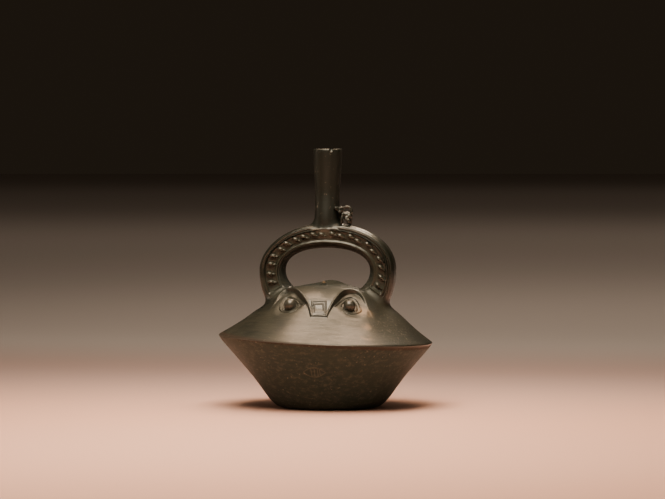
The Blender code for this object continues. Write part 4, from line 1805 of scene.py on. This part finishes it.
    def _polish(self, zones: ClayZones, clouds: Signal, hairlines: Signal) -> Signal:
        """How well the clay was burnished, in patches and fine lines, and what each zone loses of that.

        Args:
            zones: the clay's zones.
            clouds: the noise that the patches follow.
            hairlines: the rubbing stone's fine traces.

        Returns:
            The weight of the burnished coat.
        """
        polish = 0.35 + 0.45 * clouds.fade(0.40, 0.60) + 0.20 * hairlines
        for zone, loss in ((zones.bowl, 0.85), (zones.opening, 1.0), (zones.rim, 1.0), (zones.scuffed, 0.5),
                           (zones.spout, 0.85), (zones.feet, 0.8), (zones.lip, 0.5), (zones.balls, 1.0)):
            polish = polish.without(zone, loss)
        return polish + self.ball_polish * zones.balls


@dataclass(frozen=True)
class StudioPaper:
    """Matt pale paper of the studio's floor, shaded from a pink front over a darker middle to a grey back:
    painted light that stands in for how the lamps fall on the floor.
    """

    # painted light: the floor's colour changes with distance behind the vessel to stand in for how the lamps
    # light it
    front: Colour = (0.78, 0.48, 0.385, 1.0)
    middle: Colour = (0.58, 0.45, 0.44, 1.0)
    back: Colour = (0.82, 0.78, 0.79, 1.0)
    roughness: float = 0.9
    specular: float = 0.1
    to_middle: Plan = (-0.20, 0.40)     # metres behind the vessel over which each shade gives way to the next
    to_back: Plan = (0.42, 0.95)

    def material(self) -> bpy.types.Material:
        """Make the finish as a material.

        Returns:
            The material.
        """
        material = bpy.data.materials.new("studio_paper_with_painted_light")
        sheet = NodeSheet(material)
        behind = sheet.place(1)
        sheet.feed(sheet.shader, {
            # painted light graded along the floor's depth
            "Base Color": sheet.layers(self.front, (behind.ramp(*self.to_middle), self.middle),
                                       (behind.ramp(*self.to_back), self.back)),
            "Roughness": self.roughness,
            "Specular IOR Level": self.specular})
        return material


# ---------------------------------------------------------------- the vessel

@dataclass
class Vessel:
    """The whole bottle, fused from its parts, hollowed and dressed as one piece."""

    body: Body = field(default_factory=Body)
    finish: BurnishedClay = field(default_factory=BurnishedClay)
    softened: float = math.radians(28.0)    # joints sharper than this are rubbed smooth
    kept_sharp: float = math.radians(50.0)  # edges sharper than this stay crisp in the finish
    rubs: int = 6               # rings of vertices round a joint that are rubbed
    rub_passes: int = 18
    foot_joint: Place = (44.0, 19.0, 25.0)  # its middle from the axis, half length and half depth, in plan
    foot_joint_lift: float = 4.0
    spout_joint: Plan = (9.0, 16.0)         # inner and outer radius
    spout_joint_level: float = 136.0
    spout_joint_lift: float = 5.0

    def __post_init__(self) -> None:
        """Lay out the parts that stand on the body."""
        self.stirrup = Stirrup(self.body.shell)
        self.spout = Spout(self.stirrup)
        self.birds = Birds(self.stirrup)
        self.monkey = Monkey()

    def build(self, unit: float) -> bpy.types.Object:
        """Model, hollow and dress the vessel.

        Args:
            unit: metres in a drawing unit.

        Returns:
            The finished piece.
        """
        piece = clay_object("vessel_piece", self.body.build())
        log.info("body: %d faces", len(piece.data.polygons))
        added = self.body.face.eyeballs(self.body.shell)
        added += [self.stirrup.build(), self.spout.build()]
        join(piece, added, Joining.ADD)
        self.rub_joints(piece)
        log.info("stirrup and spout joined: %d faces", len(piece.data.polygons))
        join(piece, self.birds.build() + self.monkey.build(), Joining.ADD)
        log.info("birds and monkey joined: %d faces", len(piece.data.polygons))
        hollow = [self.body.chamber(), self.stirrup.bore(), self.spout.bore()]
        join(piece, hollow + self.spout.lost_flakes() + self.monkey.eye_pits(), Joining.CUT)
        self.bring_to_size(piece, unit)
        piece.data.materials.clear()
        piece.data.materials.append(self.finish.material(unit))
        piece.data.shade_smooth()
        piece.data.set_sharp_from_angle(angle=self.kept_sharp)
        log.info("hollowed: %d triangles", sum(len(face.vertices) - 2 for face in piece.data.polygons))
        return piece

    def rub_joints(self, piece: bpy.types.Object) -> None:
        """Smooth the clay where the stirrup and the spout meet what carries them.

        Args:
            piece: the fused vessel.
        """
        def at_joint(place: Vector) -> bool:
            """Whether a place lies at a foot of the stirrup or of the spout.

            Args:
                place: the place.

            Returns:
                True if it does.
            """
            apart, half_length, half_depth = self.foot_joint
            from_foot = math.hypot((abs(place.x) - apart) / half_length, place.y / half_depth)
            if from_foot < 1.0 and abs(self.body.shell.lift_of(place)) < self.foot_joint_lift:
                return True
            inner, outer = self.spout_joint
            radius = math.hypot(place.x - self.spout.foot_x, place.y)
            if place.z <= self.spout_joint_level or not inner < radius < outer:
                return False
            return place.z - self.stirrup.roof(place.x, place.y) < self.spout_joint_lift

        with editing(piece) as mesh:
            sharp = [edge for edge in mesh.edges
                     if edge.is_manifold and abs(edge.calc_face_angle(0.0)) > self.softened]
            verts = {vert for edge in sharp for vert in edge.verts if at_joint(vert.co)}
            for _ in range(self.rubs):
                verts |= {edge.other_vert(vert) for vert in verts for edge in vert.link_edges}
            rubbed = in_order((vert for vert in verts if at_joint(vert.co)), mesh.verts)
            for _ in range(self.rub_passes):
                bmesh.ops.smooth_vert(mesh, verts=rubbed, factor=0.5, use_axis_x=True, use_axis_y=True,
                                      use_axis_z=True)

    @staticmethod
    def bring_to_size(piece: bpy.types.Object, unit: float) -> None:
        """Scale the drawing to metres in its mesh."""
        with editing(piece) as mesh:
            bmesh.ops.scale(mesh, vec=(unit, unit, unit), verts=mesh.verts[:])


# ---------------------------------------------------------------- the studio

@dataclass(frozen=True)
class SoftLight:
    """Softbox that looks at a point."""

    name: str
    place: Place
    aim: Place
    size: Plan
    power: float
    colour: Place = (1.0, 0.77, 0.56)
    spread: float = math.pi     # narrower where a grid is hung before it

    def build(self) -> None:
        """Hang the softbox in the scene."""
        lamp = bpy.data.lights.new(self.name, "AREA")
        lamp.shape = "RECTANGLE"
        lamp.size, lamp.size_y = self.size
        lamp.energy = self.power
        lamp.color = self.colour
        lamp.spread = self.spread
        item = bpy.data.objects.new(self.name, lamp)
        bpy.context.scene.collection.objects.link(item)
        item.location = self.place
        item.rotation_euler = (Vector(self.aim) - Vector(self.place)).to_track_quat("-Z", "Y").to_euler()


@dataclass
class Studio:
    """Pale floor that runs into the dark, soft lights and the camera."""

    floor_radius: float = 40.0
    floor_sides: int = 96
    azimuth: float = math.radians(10.0)         # of the camera, from the front towards the right
    distance: float = 2.6
    eye_height: float = 0.202
    eye_down: float = math.radians(1.62655)     # how far the camera looks down
    eye_aside: float = math.radians(-0.06267)   # how far it looks to the left, or below zero to the right
    lens: float = 173.233
    film_width: float = 36.0
    clip_start: float = 0.05
    darkness: Colour = (0.015, 0.0108, 0.007, 1.0)
    lights: tuple[SoftLight, ...] = (
        SoftLight("near_softbox", (-0.02, -0.40, 0.66), (-0.02, -0.36, 0.0), (0.46, 0.52), 12.5),
        SoftLight("top_softbox", (0.02, 0.05, 0.43), (0.02, 0.045, 0.0), (0.36, 0.19), 1.75,
                  colour=(1.0, 0.67, 0.43)),
        SoftLight("shoulder_softbox", (0.08, 0.50, 0.50), (0.034, 0.0, 0.142), (0.12, 0.12), 0.014,
                  spread=math.radians(18.0)),
        SoftLight("high_softbox", (0.0, 1.3, 2.5), (0.0, 1.25, 0.0), (1.5, 1.5), 1.5,
                  spread=math.radians(60.0)),
        SoftLight("middle_softbox", (0.0, 2.4, 3.0), (0.0, 2.4, 0.0), (1.2, 1.2), 1.15,
                  spread=math.radians(70.0)),
        SoftLight("far_softbox", (0.0, 4.6, 4.4), (0.0, 4.5, 0.0), (3.5, 3.5), 26.0),
        SoftLight("horizon_softbox", (0.0, 14.0, 9.0), (0.0, 14.0, 0.0), (6.0, 6.0), 20.0),
        SoftLight("left_strip", (-1.5, 0.0, 0.50), (0.0, 0.0, 0.15), (0.14, 0.6), 1.8),
        SoftLight("right_strip", (1.4, -0.45, 0.50), (0.0, 0.0, 0.15), (0.14, 0.6), 1.0),
    )

    def build(self) -> bpy.types.Object:
        """Set up everything round the vessel.

        Returns:
            The floor.
        """
        for light in self.lights:
            light.build()
        self._world()
        self._camera()
        return self._floor()

    def _floor(self) -> bpy.types.Object:
        """Make the wide round floor, with its surface at zero.

        Returns:
            The floor.
        """
        mesh = bmesh.new()
        bmesh.ops.create_circle(mesh, cap_ends=True, segments=self.floor_sides, radius=self.floor_radius)
        floor = clay_object("studio_floor", mesh)
        floor.data.materials.append(StudioPaper().material())
        return floor

    def _world(self) -> None:
        """Dim warm darkness all round."""
        world = bpy.data.worlds.new("studio_dark")
        world.use_nodes = True
        world.node_tree.nodes["Background"].inputs["Color"].default_value = self.darkness
        bpy.context.scene.world = world

    def _camera(self) -> None:
        """Camera low in front of the vessel, a little to its right."""
        data = bpy.data.cameras.new("camera")
        data.sensor_width = self.film_width
        data.lens = self.lens
        data.clip_start = self.clip_start
        camera = bpy.data.objects.new("camera", data)
        bpy.context.scene.collection.objects.link(camera)
        camera.location = (self.distance * math.sin(self.azimuth), -self.distance * math.cos(self.azimuth),
                           self.eye_height)
        camera.rotation_euler = (0.5 * math.pi - self.eye_down, 0.0, self.azimuth + self.eye_aside)
        bpy.context.scene.camera = camera


def main() -> None:
    """Build the vessel and its studio round the frame."""
    logging.basicConfig(level=logging.INFO, format="%(name)s: %(message)s")
    piece = Vessel().build((CAD_HIGH[2] - CAD_LOW[2]) / HEIGHT)
    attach(piece, "root")
    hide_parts(NODE)
    Studio().build()


if __name__ == "__main__":
    main()
